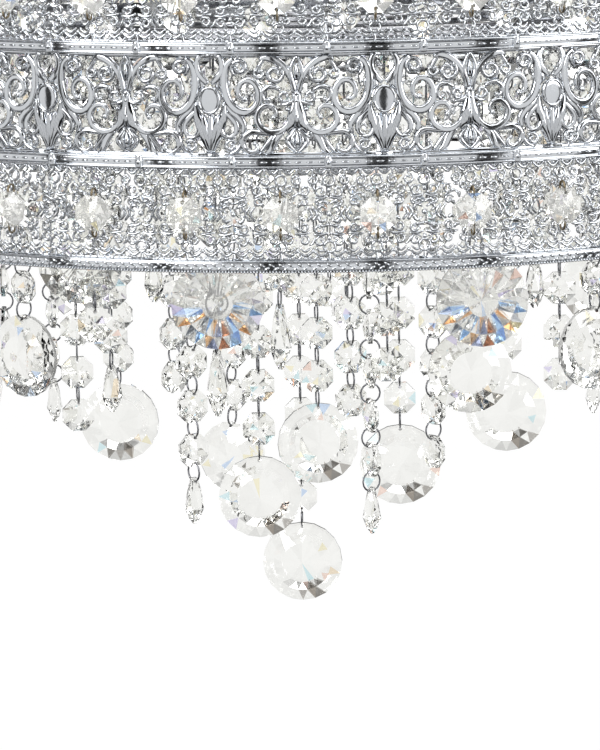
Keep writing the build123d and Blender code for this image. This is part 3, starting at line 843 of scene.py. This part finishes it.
# ------------------------------------------------------------------ the pierced bands
def scroll_motif(rise):
    """Half of a scroll motif, from a stem's middle to a cabochon's, then mirrored about the stem."""
    half = pi * drum_radius_mm / motif_count
    r = Relief(1.55)

    def band(points, widths, high=1.0, samples=18):
        r.stroke(points, widths, rise * high, samples, 9, groove=0.3)

    # leaf arm from the pinch up to the top rim, and the scroll in its bend
    band([(0.9, 4.4), (1.8, 9.4), (4.6, 14.4), (8.6, 17.6), (12.2, 18.5), (14.4, 17.4)], (1.3, 1.8, 2.1, 1.0))
    r.curl(8.6, 12.0, 3.7, 120, 400, 1.5, rise, 0.42, 20)
    r.curl(14.5, 12.2, 2.2, 60, -330, 1.1, rise * 0.8, 0.5, 14)
    r.stroke([(12.4, 18.5), (14.6, 15.2), (15.6, 12.6)], (1.0, 1.3, 0.8), rise * 0.7, 8)
    # the large C scroll between the arm and the cabochon
    r.curl(22.3, 14.6, 3.4, 300, 420, 1.5, rise, 0.4, 22)
    band(
        [(24.0, 18.4), (26.9, 16.0), (28.3, 11.6), (28.2, 6.3), (26.4, 1.0), (22.6, -2.4), (18.2, -2.5),
         (15.1, 0.8), (14.8, 5.4), (17.0, 8.9), (20.2, 9.6), (22.6, 7.2), (22.6, 3.6), (20.4, 1.9)],
        (1.4, 2.2, 2.4, 2.2, 1.8, 1.5, 1.0), 1.1, 44,
    )
    r.boss(20.2, 2.4, 1.3, 1.3, rise * 1.1)
    # small leaves beside the pinch
    r.curl(4.9, 3.3, 2.3, 200, 330, 1.2, rise * 0.9, 0.5, 14)
    r.stroke([(0.8, 1.6), (3.4, 0.5), (6.4, 0.2)], (1.0, 1.5, 0.5), rise, 8)
    r.boss(3.8, -1.6, 1.0, 1.0, rise * 0.8)
    r.stroke(
        [(6.2, 5.6), (8.6, 6.9), (11.4, 6.9), (13.4, 5.0), (12.8, 2.2), (11.2, 1.4)],
        (0.9, 1.5, 1.4, 0.8), rise * 0.9, 16,
    )
    r.boss(10.9, 2.2, 1.0, 1.0, rise)
    # the lower ring, and the leaves that spring from it
    band(
        [(2.2, -3.0), (3.6, -7.6), (7.0, -10.4), (11.2, -10.6), (14.8, -8.0), (15.6, -3.9), (13.2, -0.6),
         (9.8, -0.6), (8.2, -3.0), (9.2, -5.0)],
        (1.2, 1.8, 1.9, 1.7, 1.3, 0.8), 1.1, 32,
    )
    r.boss(9.3, -4.8, 1.15, 1.15, rise)
    band([(5.4, -10.2), (8.4, -13.2), (10.2, -17.0), (12.6, -19.2)], (1.3, 2.2, 1.9, 0.8), 1.0, 14)
    r.stroke([(8.6, -10.8), (11.2, -14.4), (14.6, -18.6)], (1.0, 1.6, 1.0), rise * 0.8, 12)
    r.stroke(
        [(10.6, -11.4), (14.0, -10.9), (18.2, -10.6), (21.0, -12.6), (21.3, -16.2), (18.8, -18.6),
         (15.9, -17.6), (15.8, -15.2)],
        (1.2, 1.9, 1.7, 0.9), rise, 24,
    )
    r.boss(16.6, -15.0, 1.0, 1.0, rise)
    # S leaves under the C scroll
    band(
        [(27.6, 2.4), (26.2, -1.6), (22.8, -4.6), (20.8, -8.0), (21.6, -11.4)],
        (1.1, 2.1, 1.9, 0.9), 1.0, 16,
    )
    band(
        [(29.4, -1.6), (26.2, -4.4), (23.8, -7.6), (24.2, -11.0), (27.2, -12.8)],
        (1.0, 1.7, 1.5, 0.8), 0.9, 16,
    )
    r.stroke([(30.2, -6.2), (29.8, -10.2), (27.6, -12.6), (24.0, -12.4)], (1.5, 1.9, 1.3, 0.7), rise, 14)
    r.curl(26.2, -16.0, 2.4, 150, -380, 1.2, rise * 0.9, 0.4, 16)
    r.stroke([(21.2, -13.2), (23.4, -17.4), (26.8, -19.2)], (0.9, 1.4, 0.9), rise * 0.8, 10)
    # calyx over the cabochon, and the fluted leaf under it
    band(
        [(half - 0.9, 8.4), (half - 3.0, 10.4), (half - 4.9, 13.2), (half - 5.2, 16.8), (half - 3.6, 19.8)],
        (1.2, 2.0, 1.7, 1.3),
    )
    r.stroke([(half - 6.3, 4.4), (half - 5.2, 8.2), (half - 3.6, 11.2)], (1.2, 4.4, 1.4), rise * 0.4, 10, 7)
    r.stroke(
        [(half - 5.8, 1.2), (half - 5.4, -3.6), (half - 3.9, -9.0), (half - 2.2, -14.0), (half - 0.9, -18.4)],
        (1.0, 2.6, 2.6, 1.0), rise, 16, 7,
    )
    r.stroke(
        [(half - 3.0, -3.6), (half - 2.4, -8.4), (half - 1.5, -13.4), (half - 0.5, -18.0)],
        (1.2, 2.2, 1.8, 0.6), rise * 1.2, 14, 7,
    )
    # half of the stem
    r.stroke([(0.0, 19.2), (1.6, 16.2), (2.4, 13.0), (1.4, 8.8), (0.5, 5.2)], (0.8, 1.2, 1.4, 0.9), rise, 16)
    r.stroke(
        [(0.8, 4.4), (0.8, 1.2), (1.5, -3.6), (2.6, -8.4), (3.6, -11.2)],
        (1.3, 1.8, 3.0, 2.6, 0.7), rise * 1.2, 16, 7,
    )
    r.stroke(
        [(0.6, -9.2), (2.2, -11.6), (4.0, -14.0), (2.4, -16.6), (0.2, -18.6)],
        (0.8, 1.4, 1.4, 0.8), rise, 16,
    )
    r.stroke([(0.8, -10.6), (1.9, -13.0), (1.7, -15.4), (0.6, -17.0)], (0.7, 1.4, 0.7), rise * 1.1, 10)
    r.mirror()
    # the pieces on the stem's own axis
    r.stroke([(0, 16.2), (0, 13.0), (0, 9.6)], (0.5, 1.5, 0.7), rise, 8)
    r.boss(0, 4.6, 1.5, 1.2, rise * 1.2)
    r.boss(0, 1.7, 1.3, 1.0, rise * 1.1)
    r.stroke([(0, -0.2), (0, -5.0), (0, -9.6)], (0.6, 1.5, 0.8), rise * 1.4, 10)
    r.stroke([(0, -11.0), (0, -14.4), (0, -17.4)], (0.6, 1.5, 0.6), rise * 1.3, 8)
    # the cabochon's fluted leaf on its own axis
    r.stroke([(half, -3.6), (half, -11.0), (half, -18.6)], (1.4, 2.1, 0.7), rise * 1.35, 12, 7)
    # the plain strip along both edges
    for edge in (-1, 1):
        strip = [(-half, edge * 19.6), (0, edge * 19.6), (half, edge * 19.6)]
        r.stroke(strip, (1.4, 1.4), rise * 0.35, 13, 4)
    return r


def lace_motif(rise):
    """One repeat of the fine lace, centred on a bead."""
    half = pi * drum_radius_mm / bead_count
    r = Relief(1.22)
    fine = 6

    def small(points, widths, high=1.0, samples=8):
        r.stroke(points, widths, rise * high, samples, 4)

    # across, up, radius, first angle and sweep of each curl
    curls = [
        (6.3, 13.2, 2.3, 90, 400), (12.4, 13.3, 2.3, 90, -400), (3.2, 9.7, 1.9, 250, -380),
        (9.2, 9.4, 2.3, 200, 380), (15.4, 9.0, 2.4, 340, -390), (8.9, 4.6, 1.9, 160, -360),
        (14.9, 4.3, 2.0, 300, 380), (8.9, -5.2, 2.0, 200, 380), (14.6, -5.9, 2.2, 60, -380),
        (3.2, -10.3, 1.9, 110, 380), (9.0, -10.4, 2.3, 150, -380), (15.2, -10.9, 2.3, 30, 390),
    ]
    for across, up, radius, start, sweep in curls:
        line = curl_points(across, up, radius, start, sweep, 0.35, 10)
        r.stroke(line, (0.6, 1.0, 0.8), rise, 12, 4)
        r.boss(line[-1][0], line[-1][1], 0.62, 0.62, rise * 1.2, fine, 2)
    for across in (3.1, 9.4, 15.7):
        small([(across - 2.9, 18.2), (across, 15.7), (across + 2.9, 18.2)], (0.7, 1.1, 0.7))
        small([(across - 3.0, -14.6), (across, -16.6), (across + 3.0, -14.6)], (0.6, 1.2, 0.6))
        small([(across - 2.3, -13.2), (across, -14.8), (across + 2.3, -13.2)], (0.5, 0.9, 0.5))
        r.boss(across, 17.2, 0.8, 0.7, rise, fine, 2)
        r.boss(across, -17.4, 0.9, 0.6, rise, fine, 2)
    for across in (6.3, 12.5):
        r.boss(across, -14.6, 0.9, 0.9, rise * 1.2, fine, 2)
        small([(across - 1.6, -16.4), (across, -18.0), (across + 1.6, -16.4)], (0.6, 1.0, 0.6))
        small([(across, 18.2), (across, 16.0), (across, 15.2)], (1.0, 0.7, 0.5), 0.8, 5)
    # leaves round the bead
    for angle in (20, 48, 76, -20, -48, -76):
        a = radians(angle)
        bends = ((7.0, 0.0), (8.4, 0.12), (9.6, 0.05))
        line = [(reach * cos(a + bend), reach * sin(a + bend)) for reach, bend in bends]
        small(line, (0.6, 1.5, 0.5), 1.1, 6)
    # chevrons half-way to the next bead
    for shift in (10.2, 12.1):
        small([(shift, 2.9), (shift + 1.9, 0.0), (shift, -2.9)], (0.8, 1.1, 0.8), 1.0, 8)
    small([(13.2, 6.6), (16.2, 6.1), (half - 0.4, 7.0)], (0.6, 1.1, 0.7))
    small([(12.6, -8.0), (15.8, -8.3), (half - 0.4, -7.4)], (0.6, 1.1, 0.7))
    small([(5.4, 7.6), (7.2, 8.0), (10.8, 6.3)], (0.6, 1.1, 0.5))
    small([(5.4, -7.7), (7.2, -8.0), (11.4, -7.4)], (0.6, 1.1, 0.5))
    small([(4.6, 11.0), (5.8, 10.4), (7.0, 10.6)], (0.5, 1.0, 0.5), 0.9, 6)
    small([(11.2, 11.6), (12.6, 10.8), (13.4, 9.0)], (0.5, 1.0, 0.5), 0.9, 6)
    small([(11.0, -12.4), (12.4, -11.4), (13.2, -9.4)], (0.5, 1.0, 0.5), 0.9, 6)
    for side in (1, -1):
        small(
            [(half - 0.9, side * 2.0), (half - 3.0, side * 3.2), (half - 4.2, side * 1.6),
             (half - 2.8, side * 0.4)],
            (0.5, 1.3, 1.2, 0.5), 1.2, 8,
        )
    for side in (1, -1):
        small(
            [(half - 0.2, side * 4.0), (half - 2.4, side * 4.9), (half - 4.4, side * 4.2)],
            (0.8, 1.1, 0.4), 1.0, 7,
        )
    r.mirror()
    for up in (13.2, -13.0):
        for across, radius in ((0, 2.1), (half, 2.3)):
            ring = curl_points(across, up, radius, 0, 360, 1.0, 9)[:-1]
            r.stroke(ring, (0.9, 0.9), rise, 10, 4, closed=True)
    r.boss(half, 0.0, 1.2, 1.2, rise * 1.5, 8, 2)
    r.boss(half, 9.4, 0.9, 1.3, rise, fine, 2)
    r.boss(half, -9.6, 0.9, 1.3, rise, fine, 2)
    r.stroke([(half, 18.2), (half, 16.6), (half, 15.4)], (1.2, 0.9, 0.6), rise, 5, 4)
    r.stroke([(half, -15.2), (half, -16.6), (half, -18.2)], (0.6, 0.9, 1.2), rise, 5, 4)
    for ups, widths in (((15.2, 16.8, 18.2), (0.6, 0.9, 1.2)), ((10.9, 9.0, 7.2), (0.8, 1.2, 0.8))):
        for side in (1, -1):
            r.stroke([(0, side * up) for up in ups], widths, rise, 5, 4)
    for edge in (-1, 1):
        r.stroke([(-half, edge * 17.9), (0, edge * 17.9), (half, edge * 17.9)], (0.9, 0.9), rise * 0.5, 7, 4)
    return r


def rolled_rim(strip_width, ridges, lift):
    """A plain strip with rounded ridges, once round the drum."""
    half = pi * drum_radius_mm
    r = Relief()
    r.stroke([(-half, 0), (0, 0), (half, 0)], (strip_width, strip_width), 0.25, 241, 4, back=1.4, lift=lift)
    for up, width, rise in ridges:
        r.stroke([(-half, up), (0, up), (half, up)], (width, width), rise, 241, 7, back=1.2, lift=lift)
    return r, half


def middle_mm(node):
    low, high = box_mm(node)
    return (low[2] + high[2]) / 2


class CHANDELIER_OT_scroll_band(bpy.types.Operator):
    """Presses the band of large scrolls, with its cabochons"""

    bl_idname = "chandelier.scroll_band"
    bl_label = "Scroll band"

    def execute(self, context):
        settings = context.scene.drum_settings
        chrome = finish_of("chrome", lambda: chrome_plate(settings))
        motif = scroll_motif(settings.scroll_rise / MM)
        base = drum_radius_mm - scroll_sheet_mm
        for number, turns in enumerate(quarters(motif_count, motif_azimuth + 180 / motif_count)):
            wrap(f"scroll_band_{number + 1}", motif, base, turns, middle_mm("scroll_band"), chrome)
        oval = Relief()
        ring = [(4.1 * cos(a), 5.0 * sin(a)) for a in np.linspace(0, 2 * pi, 17)[:-1]]
        oval.stroke(ring, (1.15, 1.15), 1.3, 28, 6, closed=True, back=0.8)
        oval.boss(0, 0, 3.75, 4.65, 0.12, 28, 5, back=0.6, lift=0.5)
        turns = [motif_azimuth + 360 / motif_count * k for k in range(motif_count)]
        stones = wrap("cabochon_settings", oval, drum_radius_mm, turns, middle_mm("cabochons"), chrome)
        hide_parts("scroll_band")
        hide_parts("cabochons")
        return {"FINISHED"}


class CHANDELIER_OT_lace_bands(bpy.types.Operator):
    """Presses the two fine lace bands"""

    bl_idname = "chandelier.lace_bands"
    bl_label = "Lace bands"

    def execute(self, context):
        settings = context.scene.drum_settings
        chrome = finish_of("chrome", lambda: chrome_plate(settings))
        motif = lace_motif(settings.lace_rise / MM)
        base = drum_radius_mm - lace_sheet_mm
        for node in ("lower_lace_band", "upper_lace_band"):
            for number, turns in enumerate(quarters(bead_count, bead_azimuth)):
                piece = wrap(f"{node}_relief_{number + 1}", motif, base, turns, middle_mm(node), chrome)
                if number == 0:
                    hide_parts(node)
        return {"FINISHED"}


class CHANDELIER_OT_rims(bpy.types.Operator):
    """Rolls the dashed rims, the clasps that grip them and the rope trims"""

    bl_idname = "chandelier.rims"
    bl_label = "Rims and trims"

    def execute(self, context):
        settings = context.scene.drum_settings
        chrome = finish_of("chrome", lambda: chrome_plate(settings))
        for node in ("lower_rim", "upper_rim"):
            relief, half = rolled_rim(4.2, ((1.9, 1.0, 1.1), (-1.9, 1.0, 1.1)), -0.1)
            step = 2 * half / rim_dashes
            for k in range(rim_dashes):
                relief.boss((k + 0.5) * step - half, 0, 1.7, 0.5, 0.6, 8, 3, back=0.2, lift=0.0)
            piece = wrap(f"{node}_rolled", relief, drum_radius_mm, [0], middle_mm(node), chrome)
            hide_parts(node)
        clasp = Relief()
        clasp.stroke([(0, -2.5), (0, 0), (0, 2.5)], (2.6, 3.2, 2.6), 0.9, 9, 6, back=0.6, lift=0.6)
        clasp.boss(0, 0, 1.1, 1.1, 1.5, 10, 3, back=0.2, lift=0.7)
        first = bead_azimuth + 180 / bead_count
        turns = [first + k * 360 / bead_count for k in range(bead_count)]
        for node in ("lower_rim", "upper_rim"):
            piece = wrap(f"{node}_clasps", clasp, drum_radius_mm, turns, middle_mm(node), chrome)
            if node == "lower_rim":
                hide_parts("rim_rivets")
        for node, side in (("bottom_trim", -1), ("top_trim", 1)):
            relief, half = rolled_rim(4.6, ((-side * 2.1, 0.6, 0.6),), 0.0)
            step = 2 * half / trim_ropes
            for k in range(trim_ropes):
                place = (k + 0.5) * step - half
                relief.boss(place, side * 0.75, 1.5, 0.6, 0.75, 8, 3, turn=28, back=0.2, lift=0.0)
                place += step / 2
                relief.boss(place, -side * 0.65, 1.5, 0.6, 0.75, 8, 3, turn=-28, back=0.2, lift=0.0)
            for k in range(3 * trim_ropes):
                place = (k + 0.5) * step / 3 - half
                relief.boss(place, side * 2.1, 0.55, 0.5, 0.75, 6, 2, back=0.3, lift=0.1)
            piece = wrap(f"{node}_rope", relief, drum_radius_mm, [0], middle_mm(node), chrome)
            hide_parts(node)
        return {"FINISHED"}


class CHANDELIER_OT_beads(bpy.types.Operator):
    """Hangs the octagon beads on the lace bands with brass wire"""

    bl_idname = "chandelier.beads"
    bl_label = "Band beads"

    def execute(self, context):
        glass = finish_of("backed", lambda: crystal_glass("silver_backed_crystal", 0.78))
        brass = finish_of("brass", lambda: brass_wire(context.scene.drum_settings))
        beads, wires = Gathering(), Gathering()
        circle = drum_radius_mm + octagon_depth_mm / 2 + bead_gap_mm
        loop = wire_loop(pin_loop_mm, pin_wire_mm, 0.0, 12, 6)
        for node in ("lower_lace_band", "upper_lace_band"):
            height = middle_mm(node)
            for k in range(bead_count):
                turn = bead_azimuth + k * 360 / bead_count
                beads.place(crystal_blank("octagon"), at_azimuth(turn, circle, height))
                for side in (-1, 1):
                    up = height + side * (octagon_reach_mm + pin_loop_mm)
                    wires.place(loop, at_azimuth(turn, drum_radius_mm + pin_stand_off_mm, up))
        stones = beads.build("pinned_beads", glass, "drum", False)
        paint_fire_and_shade(stones, context.scene.strand_settings.painted_fire_share, 5)
        pins = wires.build("bead_wire_loops", brass, "drum", True)
        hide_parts("band_beads")
        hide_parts("bead_pins")
        return {"FINISHED"}


class CHANDELIER_OT_moving_strands(bpy.types.Operator):
    """Strings the crystal strands that swing on their own"""

    bl_idname = "chandelier.moving_strands"
    bl_label = "Swinging strands"

    def execute(self, context):
        for number, (name, strand) in enumerate(moving_strands.items()):
            stones, rings = string_strands([strand], name, name, number, 60 + number)
            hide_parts(f"{name}_crystals")
            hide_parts(f"{name}_links")
        return {"FINISHED"}


class CHANDELIER_OT_still_strands(bpy.types.Operator):
    """Strings the strands that only move with the drum"""

    bl_idname = "chandelier.still_strands"
    bl_label = "Other strands"

    def execute(self, context):
        groups = {
            "front": still_front_strands,
            "side": still_side_strands + [mirrored(s) for s in still_side_strands],
            "rear": rear_strands,
        }
        for number, (group, strands) in enumerate(groups.items()):
            stones, rings = string_strands(strands, f"{group}_strands", "drum", 20 + number, 80 + number)
            if group == "rear":
                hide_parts("rear_strands_crystals")
                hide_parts("rear_strands_links")
        return {"FINISHED"}


class CHANDELIER_OT_curtain(bpy.types.Operator):
    """Hangs the curtain of short strings behind the bands"""

    bl_idname = "chandelier.curtain"
    bl_label = "Inner curtain"

    def execute(self, context):
        settings = context.scene.strand_settings
        glass = finish_of("crystal", crystal_glass)
        wire = finish_of("wire", lambda: nickel_wire(context.scene.drum_settings))
        pitch = 2 * (octagon_reach_mm + ring_radius_mm)
        ring = wire_loop(ring_radius_mm, ring_wire_mm, 0.0, 12, 5)
        top = middle_mm("top_trim") - pitch / 2
        crystals, links = Gathering(), Gathering()
        rng = np.random.default_rng(8)
        for k in range(settings.curtain_strings):
            azimuth = k * 360 / settings.curtain_strings + curtain_azimuth
            radius = settings.curtain_radius / MM
            turn = rng.uniform(-30, 30)
            for level in range(curtain_levels):
                height = top - level * pitch - (k % 2) * curtain_stagger_mm
                facing = turn + rng.uniform(-12, 12)
                crystals.place(crystal_blank("octagon"), at_azimuth(azimuth, radius, height, facing))
                spot = at_azimuth(azimuth, radius, height + pitch / 2, facing)
                links.place(ring, spot)
        stones = crystals.build("curtain_cut", glass, "drum", False)
        paint_fire_and_shade(stones, settings.painted_fire_share, 40)
        links.build("curtain_wire", wire, "drum", True)
        return {"FINISHED"}


def finish_nodes(material, *nodes):
    """Gives CAD nodes whose shape is right their real finish."""
    for node in nodes:
        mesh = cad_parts[node].data
        mesh.materials.clear()
        mesh.materials.append(material)


def grained_plastic(name, pattern, grain, dark, light, depth_mm, strength, gloss):
    """A moulded plastic whose tone and skin follow one pattern; grain is the pattern's output."""
    material, tree, output = new_material(name)
    place = add_node(tree, "ShaderNodeTexCoord")
    kind, settings = pattern
    marks = add_node(tree, kind, settings, {"Vector": place.outputs["Object"]})
    tone = add_node(
        tree,
        "ShaderNodeMix",
        {6: (*linear(dark), 1), 7: (*linear(light), 1)},
        {0: marks.outputs[grain]},
        data_type="RGBA",
    )
    bump = add_node(
        tree,
        "ShaderNodeBump",
        {"Strength": strength, "Distance": depth_mm * MM},
        {"Height": marks.outputs[grain]},
    )
    shader = add_node(
        tree,
        "ShaderNodeBsdfPrincipled",
        gloss,
        {"Base Color": tone.outputs[2], "Normal": bump.outputs[0]},
    )
    tree.links.new(shader.outputs[0], output.inputs[0])
    return material


def candle_plastic():
    """Ivory polypropylene tube, injection moulded: waxy, with faint sink marks."""
    marks = ("ShaderNodeTexNoise", {"Scale": 1 / (sink_mark_mm * MM), "Detail": 3.0})
    gloss = {"Roughness": 0.42, "IOR": 1.49, "Subsurface Weight": 0.15, "Subsurface Scale": 2 * MM}
    return grained_plastic(
        "moulded_ivory_polypropylene", marks, "Fac", "#ece3cf", "#f6f0e2", skin_depth_mm, 0.3, gloss
    )


def socket_plastic():
    """Black phenolic lamp socket, compression moulded: hard, with a fine pebbled skin."""
    pebbles = ("ShaderNodeTexVoronoi", {"Scale": 1 / (pebble_mm * MM)})
    gloss = {"Roughness": 0.36, "IOR": 1.6}
    return grained_plastic(
        "moulded_black_phenolic", pebbles, "Distance", "#141312", "#26231f", skin_depth_mm, 0.25, gloss
    )


def bulb_glass():
    """Blown candle bulb, acid-frosted inside: a pale, softly diffusing glass."""
    material, tree, output = new_material("frosted_bulb_glass")
    place = add_node(tree, "ShaderNodeTexCoord")
    frost = add_node(
        tree,
        "ShaderNodeTexNoise",
        {"Scale": 1 / (frost_patch_mm * MM), "Detail": 4.0},
        {"Vector": place.outputs["Object"]},
    )
    rough = add_node(
        tree, "ShaderNodeMapRange", {"To Min": 0.3, "To Max": 0.5}, {"Value": frost.outputs["Fac"]}
    )
    shader = add_node(
        tree,
        "ShaderNodeBsdfPrincipled",
        {"Base Color": (*linear("#f7f5ee"), 1), "IOR": 1.5, "Transmission Weight": 0.35},
        {"Roughness": rough.outputs[0]},
    )
    tree.links.new(shader.outputs[0], output.inputs[0])
    return material


class CHANDELIER_OT_frame_finish(bpy.types.Operator):
    """Finishes the spider, hoops, stem, stays and lamps"""

    bl_idname = "chandelier.frame_finish"
    bl_label = "Frame and lamps"

    def execute(self, context):
        settings = context.scene.drum_settings
        tube = finish_of("tube", lambda: chrome_tube(settings))
        wire = finish_of("wire", lambda: nickel_wire(settings))
        finish_nodes(tube, "centre_stem", "drum_loop", "stem_finial", "spider", "lamp_cups", "stay_rods")
        finish_nodes(wire, "strand_hoops")
        finish_nodes(candle_plastic(), "candle_sleeves")
        finish_nodes(socket_plastic(), "lamp_sockets")
        finish_nodes(bulb_glass(), "bulbs")
        return {"FINISHED"}


class CHANDELIER_OT_ceiling_finish(bpy.types.Operator):
    """Finishes the chain, canopy and ceiling fittings"""

    bl_idname = "chandelier.ceiling_finish"
    bl_label = "Chain and canopy"

    def execute(self, context):
        tube = finish_of("tube", lambda: chrome_tube(context.scene.drum_settings))
        finish_nodes(tube, "canopy", "collar_loop", "chain_link_1", "chain_link_2", "chain_link_3")
        finish_nodes(zinc_plate(), "ceiling_crossbar", "canopy_locknut", "canopy_nipple")
        return {"FINISHED"}


# ------------------------------------------------------------------ stage
floor_drop = 1.5
floor_half_width = 9.0
card_count = 16
lens_mm = 181.0
camera_place = (-0.0187, -1.702, -0.1787)
camera_tilt, camera_heading, camera_roll = -9.72, 0.258, -0.87


def soft_box(name, place, aim, size, power):
    """A large square studio light."""
    data = bpy.data.lights.new(name, "AREA")
    data.size = size
    data.energy = power
    lamp = bpy.data.objects.new(name, data)
    lamp.location = place
    lamp.rotation_euler = (Vector(aim) - Vector(place)).to_track_quat("-Z", "Y").to_euler()
    bpy.context.scene.collection.objects.link(lamp)


def level_ramp(tree, value, stops):
    """A grey ramp over a direction's share, from -1 to 1."""
    share = add_node(tree, "ShaderNodeMapRange", {"From Min": -1.0}, {"Value": value})
    ramp = add_node(tree, "ShaderNodeValToRGB", {}, {"Fac": share.outputs[0]})
    elements = ramp.color_ramp.elements
    while len(elements) < len(stops):
        elements.new(0.5)
    for element, (place, level) in zip(elements, stops):
        element.position = (place + 1) / 2
        element.color = (level, level, level, 1)
    return ramp.outputs["Color"]


class CHANDELIER_OT_stage(bpy.types.Operator):
    """Sets the pale floor, the soft light and the camera"""

    bl_idname = "chandelier.stage"
    bl_label = "Stage"

    def execute(self, context):
        scene = context.scene
        floor_material, tree, output = new_material("backlit_white_acrylic")
        shader = add_node(
            tree,
            "ShaderNodeBsdfPrincipled",
            {
                "Base Color": (*linear("#303030"), 1),
                "Roughness": 0.9,
                "Emission Color": (1, 1, 1, 1),
                "Emission Strength": 0.98,
            },
        )
        tree.links.new(shader.outputs[0], output.inputs[0])
        work = bmesh.new()
        bmesh.ops.create_grid(work, x_segments=2, y_segments=2, size=floor_half_width)
        mesh = bpy.data.meshes.new("studio_floor")
        work.to_mesh(mesh)
        work.free()
        mesh.materials.append(floor_material)
        floor = bpy.data.objects.new("studio_floor", mesh)
        floor.location = (0, 0, -floor_drop)
        floor.visible_glossy = False
        floor.visible_transmission = False
        scene.collection.objects.link(floor)

        world = bpy.data.worlds.new("studio")
        world.use_nodes = True
        tree = world.node_tree
        tree.nodes.clear()
        output = tree.nodes.new("ShaderNodeOutputWorld")
        place = add_node(tree, "ShaderNodeTexCoord")
        parts = add_node(tree, "ShaderNodeSeparateXYZ", {}, {"Vector": place.outputs["Generated"]})
        heights = level_ramp(
            tree,
            parts.outputs["Z"],
            ((-1, 0.02), (-0.7, 0.01), (-0.64, 1.0), (-0.56, 1.0), (-0.5, 0.01), (-0.36, 0.01),
             (-0.31, 0.98), (0.08, 1.06), (0.13, 0.01), (0.4, 0.01), (0.46, 1.3), (0.54, 1.3), (0.6, 0.01)),
        )
        around = add_node(
            tree, "ShaderNodeMath", {}, {0: parts.outputs["X"], 1: parts.outputs["Y"]}, operation="ARCTAN2"
        )
        # tall white cards round the drum, with near-black gaps between them
        swing = add_node(
            tree, "ShaderNodeMath", {1: card_count}, {0: around.outputs[0]}, operation="MULTIPLY"
        )
        wave = add_node(tree, "ShaderNodeMath", {}, {0: swing.outputs[0]}, operation="COSINE")
        sides = level_ramp(
            tree, wave.outputs[0], ((-1, 0.05), (-0.85, 0.05), (-0.65, 0.95), (0.6, 0.95), (1, 0.95))
        )
        cards = add_node(
            tree, "ShaderNodeMix", {0: 1.0}, {6: heights, 7: sides}, data_type="RGBA", blend_type="MULTIPLY"
        )
        studio = add_node(tree, "ShaderNodeBackground", {"Strength": 1.0}, {"Color": cards.outputs[2]})
        through = level_ramp(
            tree,
            parts.outputs["Z"],
            ((-1, 1), (0.16, 1.0), (0.24, 0.45), (0.32, 0.25), (0.4, 0.6), (0.48, 1.0), (0.7, 0.9),
             (0.86, 0.3)),
        )
        clear = add_node(tree, "ShaderNodeBackground", {"Strength": 1.0}, {"Color": through})
        plain = add_node(tree, "ShaderNodeBackground", {"Color": (1, 1, 1, 1), "Strength": 1.1})
        ray = add_node(tree, "ShaderNodeLightPath")
        seen = add_node(
            tree,
            "ShaderNodeMixShader",
            {},
            {0: ray.outputs["Is Transmission Ray"], 1: studio.outputs[0], 2: clear.outputs[0]},
        )
        mix = add_node(
            tree,
            "ShaderNodeMixShader",
            {},
            {0: ray.outputs["Is Camera Ray"], 1: seen.outputs[0], 2: plain.outputs[0]},
        )
        tree.links.new(mix.outputs[0], output.inputs[0])
        scene.world = world

        middle = (0, 0, -0.35)
        soft_box("key_soft_box", (-1.5, -1.9, 0.7), middle, 1.3, 40)
        soft_box("fill_soft_box", (1.9, -1.5, 0.2), middle, 1.2, 24)
        soft_box("rear_soft_box", (0.6, 2.0, 0.8), middle, 1.6, 30)
        soft_box("floor_wash", (0, 0, 2.4), (0, 0, -1), 4.0, 150)

        camera_data = bpy.data.cameras.new("camera")
        camera_data.lens = lens_mm
        camera_data.sensor_width = 36.0
        camera = bpy.data.objects.new("camera", camera_data)
        camera.location = camera_place
        tilt, heading, roll = radians(camera_tilt), radians(camera_heading), radians(camera_roll)
        aim = Vector((sin(heading) * cos(tilt), cos(heading) * cos(tilt), sin(tilt)))
        turn = aim.to_track_quat("-Z", "Y").to_matrix().to_4x4() @ Matrix.Rotation(roll, 4, "Z")
        camera.rotation_euler = turn.to_euler()
        scene.collection.objects.link(camera)
        scene.camera = camera
        scene.view_settings.view_transform = "Standard"
        return {"FINISHED"}


class CHANDELIER_PT_sidebar(bpy.types.Panel):
    """The chandelier's pieces and settings"""

    bl_label = "Chandelier"
    bl_idname = "CHANDELIER_PT_sidebar"
    bl_space_type = "VIEW_3D"
    bl_region_type = "UI"
    bl_category = "Chandelier"

    def draw(self, context):
        column = self.layout.column()
        for settings in (context.scene.drum_settings, context.scene.strand_settings):
            for name in settings.__annotations__:
                column.prop(settings, name)
        for operator in operators:
            column.operator(operator.bl_idname)


operators = (
    CHANDELIER_OT_stage,
    CHANDELIER_OT_scroll_band,
    CHANDELIER_OT_lace_bands,
    CHANDELIER_OT_rims,
    CHANDELIER_OT_beads,
    CHANDELIER_OT_moving_strands,
    CHANDELIER_OT_still_strands,
    CHANDELIER_OT_curtain,
    CHANDELIER_OT_frame_finish,
    CHANDELIER_OT_ceiling_finish,
)
classes = (DrumSettings, StrandSettings, *operators, CHANDELIER_PT_sidebar)


def register():
    for cls in classes:
        bpy.utils.register_class(cls)
    bpy.types.Scene.drum_settings = PointerProperty(type=DrumSettings)
    bpy.types.Scene.strand_settings = PointerProperty(type=StrandSettings)


def unregister():
    del bpy.types.Scene.strand_settings
    del bpy.types.Scene.drum_settings
    for cls in reversed(classes):
        bpy.utils.unregister_class(cls)


def main():
    """Makes every piece in order."""
    register()
    for operator in operators:
        group, name = operator.bl_idname.split(".")
        getattr(getattr(bpy.ops, group), name)()


if __name__ == "__main__":
    main()
